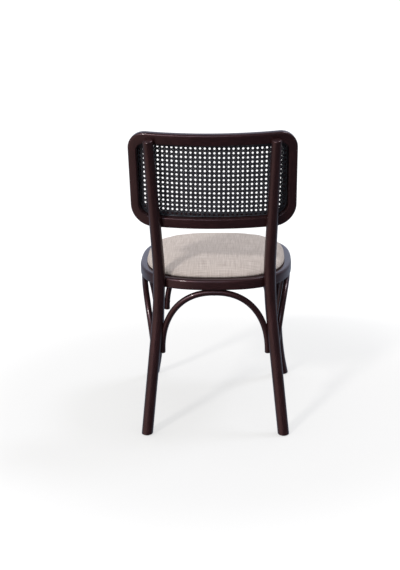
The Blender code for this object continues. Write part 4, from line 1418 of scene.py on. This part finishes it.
@dataclass
class FrontLeg(Leg):
    """A front leg that splays below its bend and ends in a round tenon in the ring."""

    radius: float = 0.0153
    axis_inset: float = 0.0145
    top_inset: float = 0.0340
    bend_inset: float = 0.0313
    bend_setback: float = 0.0655
    bend_height: float = 0.100
    bend_reach: float = 0.070
    foot_inset: float = 0.0135
    foot_setback: float = 0.0413
    tenon_radius: float = 0.008
    tenon: float = 0.018
    tenon_chamfer: float = 0.001
    tenon_sink: float = 0.001
    top_edge: float = 0.0003

    def __post_init__(self) -> None:
        """Work out the left leg's centre line."""
        edge, out = PLAN.edge_at(PLAN.half_width - self.top_inset, rear=False)
        top = edge - out * self.axis_inset + UP * (RING.bottom - GAP)
        front = PLAN.widest_y - PLAN.front_reach
        bend = np.array([PLAN.half_width - self.bend_inset, front + self.bend_setback, self.bend_height])
        foot = np.array([PLAN.half_width - self.foot_inset, front + self.foot_setback, self.foot])
        self.path = bent_path((foot, bend, top), (self.bend_reach,))

    def surfaces(self, side: float) -> list[Surface]:
        """The bar, cut level at both ends, and its tenon.

        Args:
            side: 1 for the sitter's left, -1 for the right.

        Returns:
            The leg's surfaces.
        """
        path, r, deep, c, edge = self.path, self.tenon_radius, self.tenon, self.tenon_chamfer, self.top_edge
        along = unit(path[-1] - path[-2])
        head = np.hstack([path[-1] - along * np.array([[edge], [0.0]]), np.full((2, 1), self.radius)])
        leg = self.standing(path[:-3], np.full(len(path) - 3, self.radius), head, path[-1],
                            0.5 * (3.5 + side))
        level_rows(leg, (-2, -1), (path[-1, 2] - edge, path[-1, 2]), along)
        profile = np.array([[0.0, 0.0], [r, 0.0], [r, deep - c], [r - c, deep], [0.0, deep]])
        tenon = turned(profile, path[-1] - UP * self.tenon_sink, UP)
        return [part.mirrored(side) for part in (leg, tenon)]


REAR_LEG = RearLeg()
FRONT_LEG = FrontLeg()


class ArchPlace(Enum):
    """Where an arch stands: its name, its crown's turn in degrees and side, how high it ends, and
    for each end the leg, the turn at which it lies against the leg, and the side."""

    REAR = ("rear_arch", 90.0, 1.0, 0.2215, (REAR_LEG, 220.0, 1.0), (REAR_LEG, 220.0, -1.0))
    FRONT = ("front_arch", -90.0, 1.0, 0.2265, (FRONT_LEG, 172.0, 1.0), (FRONT_LEG, 172.0, -1.0))
    LEFT = ("side_arch_left", 9.0, 1.0, 0.2215, (REAR_LEG, 285.0, 1.0), (FRONT_LEG, 70.0, 1.0))
    RIGHT = ("side_arch_right", 9.0, -1.0, 0.2215, (REAR_LEG, 285.0, -1.0), (FRONT_LEG, 70.0, -1.0))


@dataclass
class Arch:
    """A rod bent into a flattened arch, screwed to two legs and to the ring above it."""

    place: ArchPlace
    radius: float = 0.00875
    joint_height: float = 0.2525
    crown_inset: float = 0.0115
    squareness: float = 2.28
    seat_depth: float = 0.001
    rounding: float = 0.0022
    steps: int = 120
    path: Array = field(init=False)
    to_legs: list[Array] = field(init=False)

    def __post_init__(self) -> None:
        """Work out the rod's centre line between its two legs, evenly spaced."""
        _, turn, side, low, *ends = self.place.value
        (start, first), (end, second) = (self.beside(*each) for each in ends)
        self.to_legs = [first, second]
        edge, out = PLAN.edge(math.radians(turn))
        crown = mirrored(edge - out * self.crown_inset, side) + UP * (RING.bottom - GAP - self.radius)
        path = self.line(start, end, crown, low)
        walked = lengths_along(path)
        self.path = read_off(np.linspace(0.0, walked[-1], self.steps + 1), walked, path)

    def beside(self, leg: Leg, turn: float, side: float) -> tuple[Array, Array]:
        """The rod's centre where it lies against a leg, and the way from it to the leg.

        Args:
            leg: the leg.
            turn: the direction from the leg to the rod, in degrees.
            side: 1 for the sitter's left, -1 for the right.

        Returns:
            The place and the unit direction.
        """
        away = np.array([math.cos(math.radians(turn)), math.sin(math.radians(turn)), 0.0])
        place = at_height(leg.path, self.joint_height) + away * (leg.radius + self.radius - self.seat_depth)
        return mirrored(place, side), mirrored(-away, side)

    def line(self, start: Array, end: Array, crown: Array, low: float) -> Array:
        """Half a superellipse: along = cos^(2/p), rise = sin^(2/p), bowed out by rise^1.5.

        Args:
            start: the first foot.
            end: the second foot.
            crown: the highest place.
            low: the height of both ends.

        Returns:
            The line's points.
        """
        turn, power = np.linspace(0.0, math.pi, self.steps + 1)[:, None], 2.0 / self.squareness
        along = np.copysign(np.abs(np.cos(turn)) ** power, np.cos(turn))
        rise = np.sin(turn).clip(0.0) ** power
        rise[[0, -1]] = 0.0
        middle = (start + end) / 2
        path = middle + (start - end) / 2 * along + (crown - middle) * rise ** 1.5
        path[:, 2] = low + (crown[2] - low) * rise[:, 0]
        return path

    def build(self) -> None:
        """Make the rod, with its ends eased."""
        name, c, r, path = self.place.value[0], self.rounding, self.radius, self.path
        ease = 1.0 - arc(0.0, 90.0, 4)
        head = path[0] + unit(path[1] - path[0]) * c * ease[:, :1]
        tail = path[-1] - unit(path[-1] - path[-2]) * c * ease[::-1, :1]
        lips = r - c * ease[:, 1]
        sizes = np.concatenate([lips, np.full(len(path) - 4, r), lips[::-1]])
        plane = np.cross(path[-1] - path[0], path[len(path) // 2] - path[0])
        rod = bar(np.concatenate([head, path[2:-2], tail]), sizes, unit(plane), sides=28,
                  lead=1.3 * (1 + list(ArchPlace).index(self.place)), start=path[0], end=path[-1])
        settle(make_piece("bent_" + name, [rod]), BEECH, name)


# Fasteners and glides


@dataclass
class RoundHeadScrew:
    """A screw with a low domed head and a cross recess, which is sized in shares of the head."""

    shank: float
    head: float
    length: float
    head_height: float = 0.0024
    neck: float = 0.0002
    dome: float = 0.0009
    cross: tuple[float, float] = (0.16, 0.62)
    cross_slopes: tuple[float, float] = (0.06, 0.12)
    cross_depth: float = 0.9

    def surface(self, place: Array, direction: Array) -> Surface:
        """The head's dome is height = -dome (1 - (r / head)^2) + 0.4 dome, with a cross let in.

        Args:
            place: the middle of the head's face.
            direction: the way the screw points.

        Returns:
            The closed surface.
        """
        share = np.linspace(0.0, 1.0, 12)
        profile = np.concatenate([
            abreast(share * self.head, (share ** 2 - 0.6) * self.dome),
            [[self.head, self.head_height], [self.shank, self.head_height + self.neck],
             [self.shank, self.length - 2 * self.shank], [0.0, self.length]]])
        surface = turned(profile, place, direction, steps=48)
        domed = slice(len(share) - 1)
        flat = np.sort(np.abs(surface.grain[domed, :, :2]), axis=2) / self.head
        inside = ((np.array(self.cross) - flat) / np.array(self.cross_slopes)).clip(0.0, 1.0)
        sunk = self.cross_depth * self.dome * direction
        surface.points[domed] += inside.prod(axis=2, keepdims=True) * sunk
        surface.start = surface.start + sunk
        return surface


@dataclass
class Fasteners:
    """The screws that show under the chair, and the bolts, washers and nuts in the ring."""

    arch_shank: float = 0.0019
    arch_head: float = 0.0035
    arch_bite: float = 0.012
    seat_shank: float = 0.002
    seat_head: float = 0.0038
    seat_bite: float = 0.007
    seat_turns: tuple[float, ...] = (40.0, 140.0, 220.0, 320.0)
    bolt: float = 0.003
    bolt_head: float = 0.0055
    bolt_head_height: float = 0.004
    bolt_chamfer: float = 0.001
    thread_length: float = 0.012
    thread_depth: float = 0.0005
    thread_chamfer: float = 0.0006
    plug: float = 0.005
    bolt_plug: float = 0.0065
    plug_proud: float = 0.00012
    plug_edge: float = 0.0001
    plug_depth: float = 0.004
    plug_over_opening: float = 0.0065
    washer: float = 0.006
    washer_thickness: float = 0.0012
    washer_ease: float = 0.0002
    washer_clearance: float = 0.0010
    nut: float = 0.0058
    nut_height: float = 0.005
    nut_ease: float = 0.0004
    nut_face: float = 0.97
    nut_chamfer: float = 0.0007
    bolt_end: float = 0.003
    pitch: float = 0.001
    hole: float = bolt + GAP

    def drive(self, screw: RoundHeadScrew, spots: Sequence, finish: Finish, name: str, node: str) -> None:
        """Put a screw at each (place, direction) spot, with the names numbered from 1.

        Args:
            screw: the screw.
            spots: places and directions.
            finish: the metal.
            name: the first part of each piece's name.
            node: the first part of each CAD node's name.
        """
        for number, spot in enumerate(spots, start=1):
            piece = make_piece(f"{name}_round_head_{number}", [screw.surface(*spot)])
            settle(piece, finish, f"{node}_screw_{number}")

    def fasten_arch(self, arch: Arch) -> None:
        """Put a screw in each foot of an arch and one up through its crown.

        Args:
            arch: the arch.
        """
        name, r, half = arch.place.value[0], arch.radius, len(arch.path) // 2
        screw = RoundHeadScrew(self.arch_shank, self.arch_head, 2 * r + self.arch_bite)
        feet = zip((arch.path[:half + 1], arch.path[half:]), arch.to_legs)
        spots = [(at_height(part, arch.joint_height) - way * r, way) for part, way in feet]
        spots.append((arch.path[half] - r * UP, UP))
        self.drive(screw, spots, BROWNED, name, name)

    def fasten_pad(self, pad: SeatPad) -> None:
        """Put the screws that go up through the ring's lip into the board.

        Args:
            pad: the seat's pad.
        """
        length = pad.board_bottom - RING.bottom + self.seat_bite
        screw = RoundHeadScrew(self.seat_shank, self.seat_head, length)
        edge, out = PLAN.edge(np.radians(np.array(self.seat_turns)))
        places = edge - out * (RING.rim + RING.lip / 2 + GAP) + UP * (RING.bottom + GAP)
        self.drive(screw, [(place, UP) for place in places], ZINC, "pad", "seat")

    def bolt_legs(self) -> None:
        """Put a bolt, washer and nut through the ring at each rear leg."""
        leg = REAR_LEG
        for word, side in SIDES:
            inwards = -mirrored(leg.out, side)
            axis = mirrored(at_height(leg.path, RING.bottom + RING.lip_height / 2), side)
            seat = axis - inwards * (leg.seat_radius - self.plug)
            inside = mirrored(leg.seat, side) + inwards * (leg.seat_radius - leg.cove_in_ring + RING.width)
            through = float((inside - seat) @ inwards) + self.washer_clearance
            face = seat + inwards * through
            behind = face + inwards * (self.washer_thickness + GAP)
            for name, node, surface, sharp_from in (
                    ("threaded_bolt", "leg_bolt", self.threaded(seat, inwards, through), 40.0),
                    ("round_washer", "leg_washer", self.round_washer(face, inwards), 40.0),
                    ("hexagon_nut", "leg_nut", self.hexagon_nut(behind, inwards), 25.0)):
                settle(make_piece(f"{name}_{word}", [surface], sharp_from), ZINC, f"{node}_{word}")

    def threaded(self, seat: Array, inwards: Array, through: float) -> Surface:
        """A bolt whose far end is threaded: radius = r + depth * |saw(height / pitch - turn)|.

        Args:
            seat: the middle of the head's face.
            inwards: the bolt's direction.
            through: how far it runs to the washer.

        Returns:
            The closed surface.
        """
        length = through + self.washer_thickness + self.nut_height + self.bolt_end
        r, e, deep = self.bolt_head, self.bolt_chamfer, self.bolt_head_height
        head = [[0.0, GAP], [r - e, GAP], [r, e], [r, deep], [self.bolt, deep]]
        rows = np.arange(length - self.thread_length, length - self.thread_depth, self.pitch / 6)
        end = [[self.bolt - self.thread_chamfer, length - self.thread_chamfer / 2], [0.0, length]]
        profile = np.concatenate([head, abreast(self.bolt, rows), end])
        steps = 24
        surface = turned(profile, seat, inwards, steps)
        saw = np.abs(((rows[:, None] / self.pitch - np.arange(steps) / steps) % 1.0) - 0.5) * 2.0
        core = seat + rows[:, None, None] * inwards
        thread = slice(len(head) - 1, len(head) - 1 + len(rows))
        cut = 1.0 - self.thread_depth * saw[..., None] / self.bolt
        surface.points[thread] = core + (surface.points[thread] - core) * cut
        return surface

    def round_washer(self, face: Array, inwards: Array) -> Surface:
        """A washer with eased edges, from its lower face along its axis."""
        rim = [[self.washer - self.washer_ease, 0.0], [self.washer, self.washer_ease]]
        return self.hollow(rim, self.washer_ease, self.washer_thickness, face, inwards, 40)

    def hexagon_nut(self, face: Array, inwards: Array) -> Surface:
        """A hexagon nut with chamfered corners, from its lower face along its axis."""
        flat = self.nut * math.cos(math.pi / 6)
        return self.hollow([[flat * self.nut_face, 0.0], [self.nut, self.nut_chamfer]], self.nut_ease,
                           self.nut_height, face, inwards, 60, flat)

    def hollow(self, rim: list, ease: float, height: float, face: Array, inwards: Array, steps: int,
               flat: float = 1.0) -> Surface:
        """A section carried round a bore, each point's reach cut to six flats.

        Args:
            rim: the outer points of the section's lower half, as (radius, height).
            ease: how far the bore's edge is eased.
            height: the piece's height; the section's upper half mirrors the lower.
            face: where height 0 lies.
            inwards: the axis.
            steps: the steps round.
            flat: how far the flats lie from the axis.

        Returns:
            The surface, closed round its bore.
        """
        half = np.array([[self.hole, ease], [self.hole + ease, 0.0], *rim])
        section = np.concatenate([half, (half * [1.0, -1.0] + [0.0, height])[::-1]])
        shell = turned(np.concatenate([[[0.0, 0.0]], section, [[0.0, 1.0]]]), face, inwards, steps)
        turn = np.arange(steps) * 2.0 * math.pi / steps
        across = flat / np.cos((turn + math.pi / 6) % (math.pi / 3) - math.pi / 6)
        cut = np.minimum(1.0, across / section[:, :1])
        core = face + section[:, 1][:, None, None] * inwards
        points = core + (shell.points - core) * cut[..., None]
        return Surface(points.swapaxes(0, 1), shell.grain.swapaxes(0, 1), closed_along=True)

    def add_plugs(self) -> None:
        """Put a wooden plug over each hidden screw and bolt head, almost flush with the leg."""
        opening = BACK.half_height - BACK.cross_rail
        for word, side in SIDES:
            spots = []
            for level, up, inset in (("lower", -opening - BACK.cross_rail / 2, REAR_LEG.bottom_inset),
                                     ("upper", opening + self.plug_over_opening, REAR_LEG.top_inset)):
                across = BACK.half_width - inset
                height = BACK.place(across, up, BACK.thickness)[2]
                out = unit(BACK.place(across, up, 0.01) - BACK.place(across, up, 0.0))
                spots.append((f"back_plug_{level}_{word}", self.plug, height, out))
            middle = RING.bottom + RING.lip_height / 2
            spots.append((f"leg_plug_{word}", self.bolt_plug, middle, REAR_LEG.out))
            for node, *spot in spots:
                piece = make_piece(f"wood_{node}", [self.plug_face(*spot).mirrored(side)])
                settle(piece, BEECH, node)

    def plug_face(self, radius: float, height: float, out: Array) -> Surface:
        """A disc whose face follows the leg: reach = sqrt(R^2 - d^2), d being the sideways distance.

        Args:
            radius: the plug's radius.
            height: where it lies on the left leg.
            out: the way it faces.

        Returns:
            The closed surface.
        """
        axis = at_height(REAR_LEG.path, height)
        along = unit(at_height(REAR_LEG.path, height + 0.002) - axis)
        out = unit(out - (out @ along) * along)
        leg, top, edge, deep = (
            float(REAR_LEG.radius_at(axis[2])), self.plug_proud, self.plug_edge, self.plug_depth)
        share = np.array([0.35, 0.7, 0.92, 1.0, 1.0])[:, None] * radius
        proud = np.array([top, top, edge, -edge, -deep])[:, None]
        turn = arc(0.0, 360.0, 32)[:-1]
        up, wide = share * turn[:, 0], share * turn[:, 1]
        reach = np.sqrt(leg ** 2 - wide ** 2) + proud
        side = np.cross(along, out)
        points = axis + up[..., None] * along + wide[..., None] * side + reach[..., None] * out
        grain = abreast(wide + 0.3, reach, up + 5.0)
        return Surface(points, grain, start=axis + (leg + top) * out, end=axis + (leg - deep) * out)


@dataclass
class Glide:
    """A moulded nylon disc with a nail, under each foot."""

    radius: float = 0.011
    top: float = REAR_LEG.foot - GAP
    nail: float = 0.0015
    nail_length: float = 0.014
    ease: float = 0.0009

    def build(self) -> None:
        """Turn the four glides: a disc with an eased lower edge, and the nail's point."""
        edge = arc(-90.0, 0.0, 5) * self.ease + np.array([self.radius - self.ease, self.ease])
        profile = np.concatenate([
            [[0.0, 0.0]], edge, [[self.radius, self.top], [self.nail, self.top],
                                 [self.nail, self.nail_length - 2 * self.nail], [0.0, self.nail_length]]])
        for end, leg in (("rear", REAR_LEG), ("front", FRONT_LEG)):
            for word, side in SIDES:
                place = mirrored(leg.path[0] * np.array([1.0, 1.0, 0.0]), side)
                piece = make_piece(f"nylon_glide_{end}_{word}", [turned(profile, place, UP, steps=40)])
                settle(piece, NYLON, f"glide_{end}_{word}")


# The studio


@dataclass
class PhotoCamera:
    """The photograph's own viewpoint: behind the chair, above it, a little to the right."""

    place: tuple[float, float, float] = (-0.0847, 3.185796, 1.4097901)
    yaw: float = 0.0413
    pitch: float = 0.3163
    roll: float = -0.0145
    focal: float = 1144.2868
    frame_size: tuple[int, int] = (400, 570)

    def build(self) -> None:
        """Add the camera, looking along (sin yaw cos pitch, -cos yaw cos pitch, -sin pitch)."""
        look = Vector((math.sin(self.yaw) * math.cos(self.pitch),
                       -math.cos(self.yaw) * math.cos(self.pitch), -math.sin(self.pitch)))
        level = look.cross(Vector(UP)).normalized()
        above = level.cross(look)
        c, s = math.cos(self.roll), math.sin(self.roll)
        camera = bpy.data.cameras.new("photo camera")
        camera.sensor_width = 36.0
        camera.sensor_fit = "AUTO"
        camera.lens = self.focal * camera.sensor_width / max(self.frame_size)
        camera.clip_end = 100.0
        axes = Matrix((c * level + s * above, c * above - s * level, -look)).transposed()
        obj = link_object("photo camera", camera)
        obj.matrix_world = Matrix.Translation(self.place) @ axes.to_4x4()
        bpy.context.scene.camera = obj


@dataclass(frozen=True)
class Paper(Finish):
    """Seamless white paper, lit from below too, with painted light: its colour grows brighter away from the
    chair.
    """

    name: str = "studio paper"
    near: str = "#8a8a8a"
    far: str = "#aaaaaa"
    glow: float = 0.60
    fade_from: float = 0.55
    fade_to: float = 1.25

    def lay_out(self, graph: Graph) -> Socket:
        """Painted light: the colour grows lighter with the distance from the middle.

        Args:
            graph: the graph that the nodes go into.

        Returns:
            The shader.
        """
        reach = graph.add("VectorMath", {0: graph.place()}, operation="LENGTH").outputs["Value"]
        # Painted light: the floor is painted darker near the chair and lighter further out.
        fade = graph.ramp(reach, self.fade_from, self.fade_to, kind="SMOOTHSTEP")
        return graph.principled(graph.mix(fade, self.near, self.far), 1.0, {
            "Specular IOR Level": 0.0, "Emission Color": linear("#ffffff"), "Emission Strength": self.glow})


@dataclass(frozen=True)
class Lobe:
    """A soft patch of light in the room: full within one cosine of its middle, nothing past another."""

    towards: tuple[float, float, float]
    strength: float
    outer: float
    inner: float

    def lay_out(self, graph: Graph, way: Socket) -> Socket:
        """Strength times a smooth step of the cosine between the ray and the patch's middle.

        Args:
            graph: the world's graph.
            way: the ray's direction.

        Returns:
            The light's strength.
        """
        middle = tuple(unit(np.array(self.towards)).tolist())
        cosine = graph.add("VectorMath", {0: way, 1: middle}, operation="DOT_PRODUCT").outputs["Value"]
        return graph.ramp(cosine, self.outer, self.inner, 0.0, self.strength, "SMOOTHSTEP")


@dataclass
class Studio:
    """A white paper floor that runs out into a white wall, and soft lights from two sides."""

    floor_size: float = 60.0
    white: float = 1.15
    room: float = 0.10
    ambient: Lobe = Lobe((0.30, -0.08, 0.95), 0.95, -1.0, 1.0)
    room_in_gloss: float = 0.10
    backdrop: Lobe = Lobe((0.0, -1.0, -0.15), 0.40, -0.10, 0.75)
    wall: Lobe = Lobe((0.0, -1.0, 0.30), 0.52, 0.86, 0.97)
    left_box: Lobe = Lobe((0.85, 0.50, -0.10), 0.50, 0.55, 0.97)
    strip: Lobe = Lobe((0.50, 0.87, 0.50), 6.0, 0.78, 0.96)
    strip_level: float = 0.50
    strip_half_height: float = 0.16

    def build(self) -> None:
        """Add the floor, the world and the lights, seen in plain colours as a camera gives them."""
        bpy.context.scene.view_settings.view_transform = "Standard"
        half = self.floor_size / 2
        mesh = bpy.data.meshes.new("studio floor")
        mesh.from_pydata([(-half, -half, 0.0), (half, -half, 0.0), (half, half, 0.0), (-half, half, 0.0)],
                         [], [(0, 1, 2, 3)])
        floor = link_object("studio_floor", mesh)
        floor.visible_glossy = floor.visible_diffuse = False
        dress(floor, Paper())
        self.light_world()
        self.add_sun("key light", (0.80, 1.18, 1.00), 1.5, 7.0, "#fffaf4")
        self.add_sun("side light", (-0.91, -0.41, 1.60), 0.95, 16.0, "#f2f5ff")

    def light_world(self) -> None:
        """A white room; its diffuse light comes mostly from one side, its reflections from soft boxes."""
        world = bpy.data.worlds.new("studio")
        bpy.context.scene.world = world
        graph = Graph(world)
        way = graph.add("TexCoord").outputs["Generated"]
        soft = graph.maths("ADD", self.ambient.lay_out(graph, way), self.room)
        height = graph.add("SeparateXYZ", {"Vector": way}).outputs["Z"]
        away = graph.maths("ABSOLUTE", graph.maths("SUBTRACT", height, self.strip_level))
        band = graph.ramp(away, 0.0, self.strip_half_height, 1.0, 0.0, "SMOOTHSTEP")
        strip = graph.maths("MULTIPLY", self.strip.lay_out(graph, way), band)
        behind = graph.maths("ADD", self.backdrop.lay_out(graph, way), self.room_in_gloss)
        wall = graph.maths("ADD", self.wall.lay_out(graph, way), behind)
        ray = graph.add("LightPath")
        seen = graph.add("Mix", {0: ray.outputs["Is Camera Ray"], 2: soft, 3: self.white}, data_type="FLOAT")
        plain, cool, warm = (
            graph.add("Background", {"Color": linear(colour), "Strength": strength}).outputs[0]
            for colour, strength in (("#ffffff", seen.outputs[0]),
                                     ("#d2e0fa", graph.maths("ADD", wall, strip)),
                                     ("#ffe2d6", self.left_box.lay_out(graph, way))))
        gloss = graph.add("AddShader", {0: cool, 1: warm}).outputs[0]
        both = graph.add("MixShader", {0: ray.outputs["Is Glossy Ray"], 1: plain, 2: gloss})
        graph.add("OutputWorld", {"Surface": both.outputs[0]})

    def add_sun(self, name: str, source: tuple[float, float, float], strength: float, size: float,
                colour: str) -> None:
        """A soft parallel light from the direction given, as wide as size degrees.

        Args:
            name: the light's name.
            source: where it comes from.
            strength: its strength.
            size: its width in degrees.
            colour: its hex code.
        """
        sun = bpy.data.lights.new(name, "SUN")
        sun.energy = strength
        sun.angle = math.radians(size)
        sun.color = linear(colour)[:3]
        obj = link_object(name, sun)
        obj.rotation_mode = "QUATERNION"
        obj.rotation_quaternion = Vector(source).to_track_quat("Z", "Y")


def main() -> None:
    """Build the studio and every piece of the chair, in order."""
    logging.basicConfig(level=logging.INFO, format="%(message)s", stream=sys.stdout)
    PhotoCamera().build()
    Studio().build()
    RING.build()
    pad = SeatPad()
    pad.build_cushion()
    pad.build_dust_cloth()
    dress(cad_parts["seat_board"], PLYWOOD)
    FRAME.build()
    CaneWebbing().build()
    CaneReed().build()
    for end, leg in (("rear", REAR_LEG), ("front", FRONT_LEG)):
        for word, side in SIDES:
            piece = make_piece(f"bent_{end}_leg_{word}", leg.surfaces(side))
            settle(piece, BEECH, f"{end}_leg_{word}")
    fasteners = Fasteners()
    for place in ArchPlace:
        arch = Arch(place)
        arch.build()
        fasteners.fasten_arch(arch)
    fasteners.fasten_pad(pad)
    fasteners.bolt_legs()
    fasteners.add_plugs()
    for word, _ in SIDES:
        for level in ("lower", "upper"):
            dress(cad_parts[f"back_screw_{level}_{word}"], ZINC)
    Glide().build()


if __name__ == "__main__":
    main()
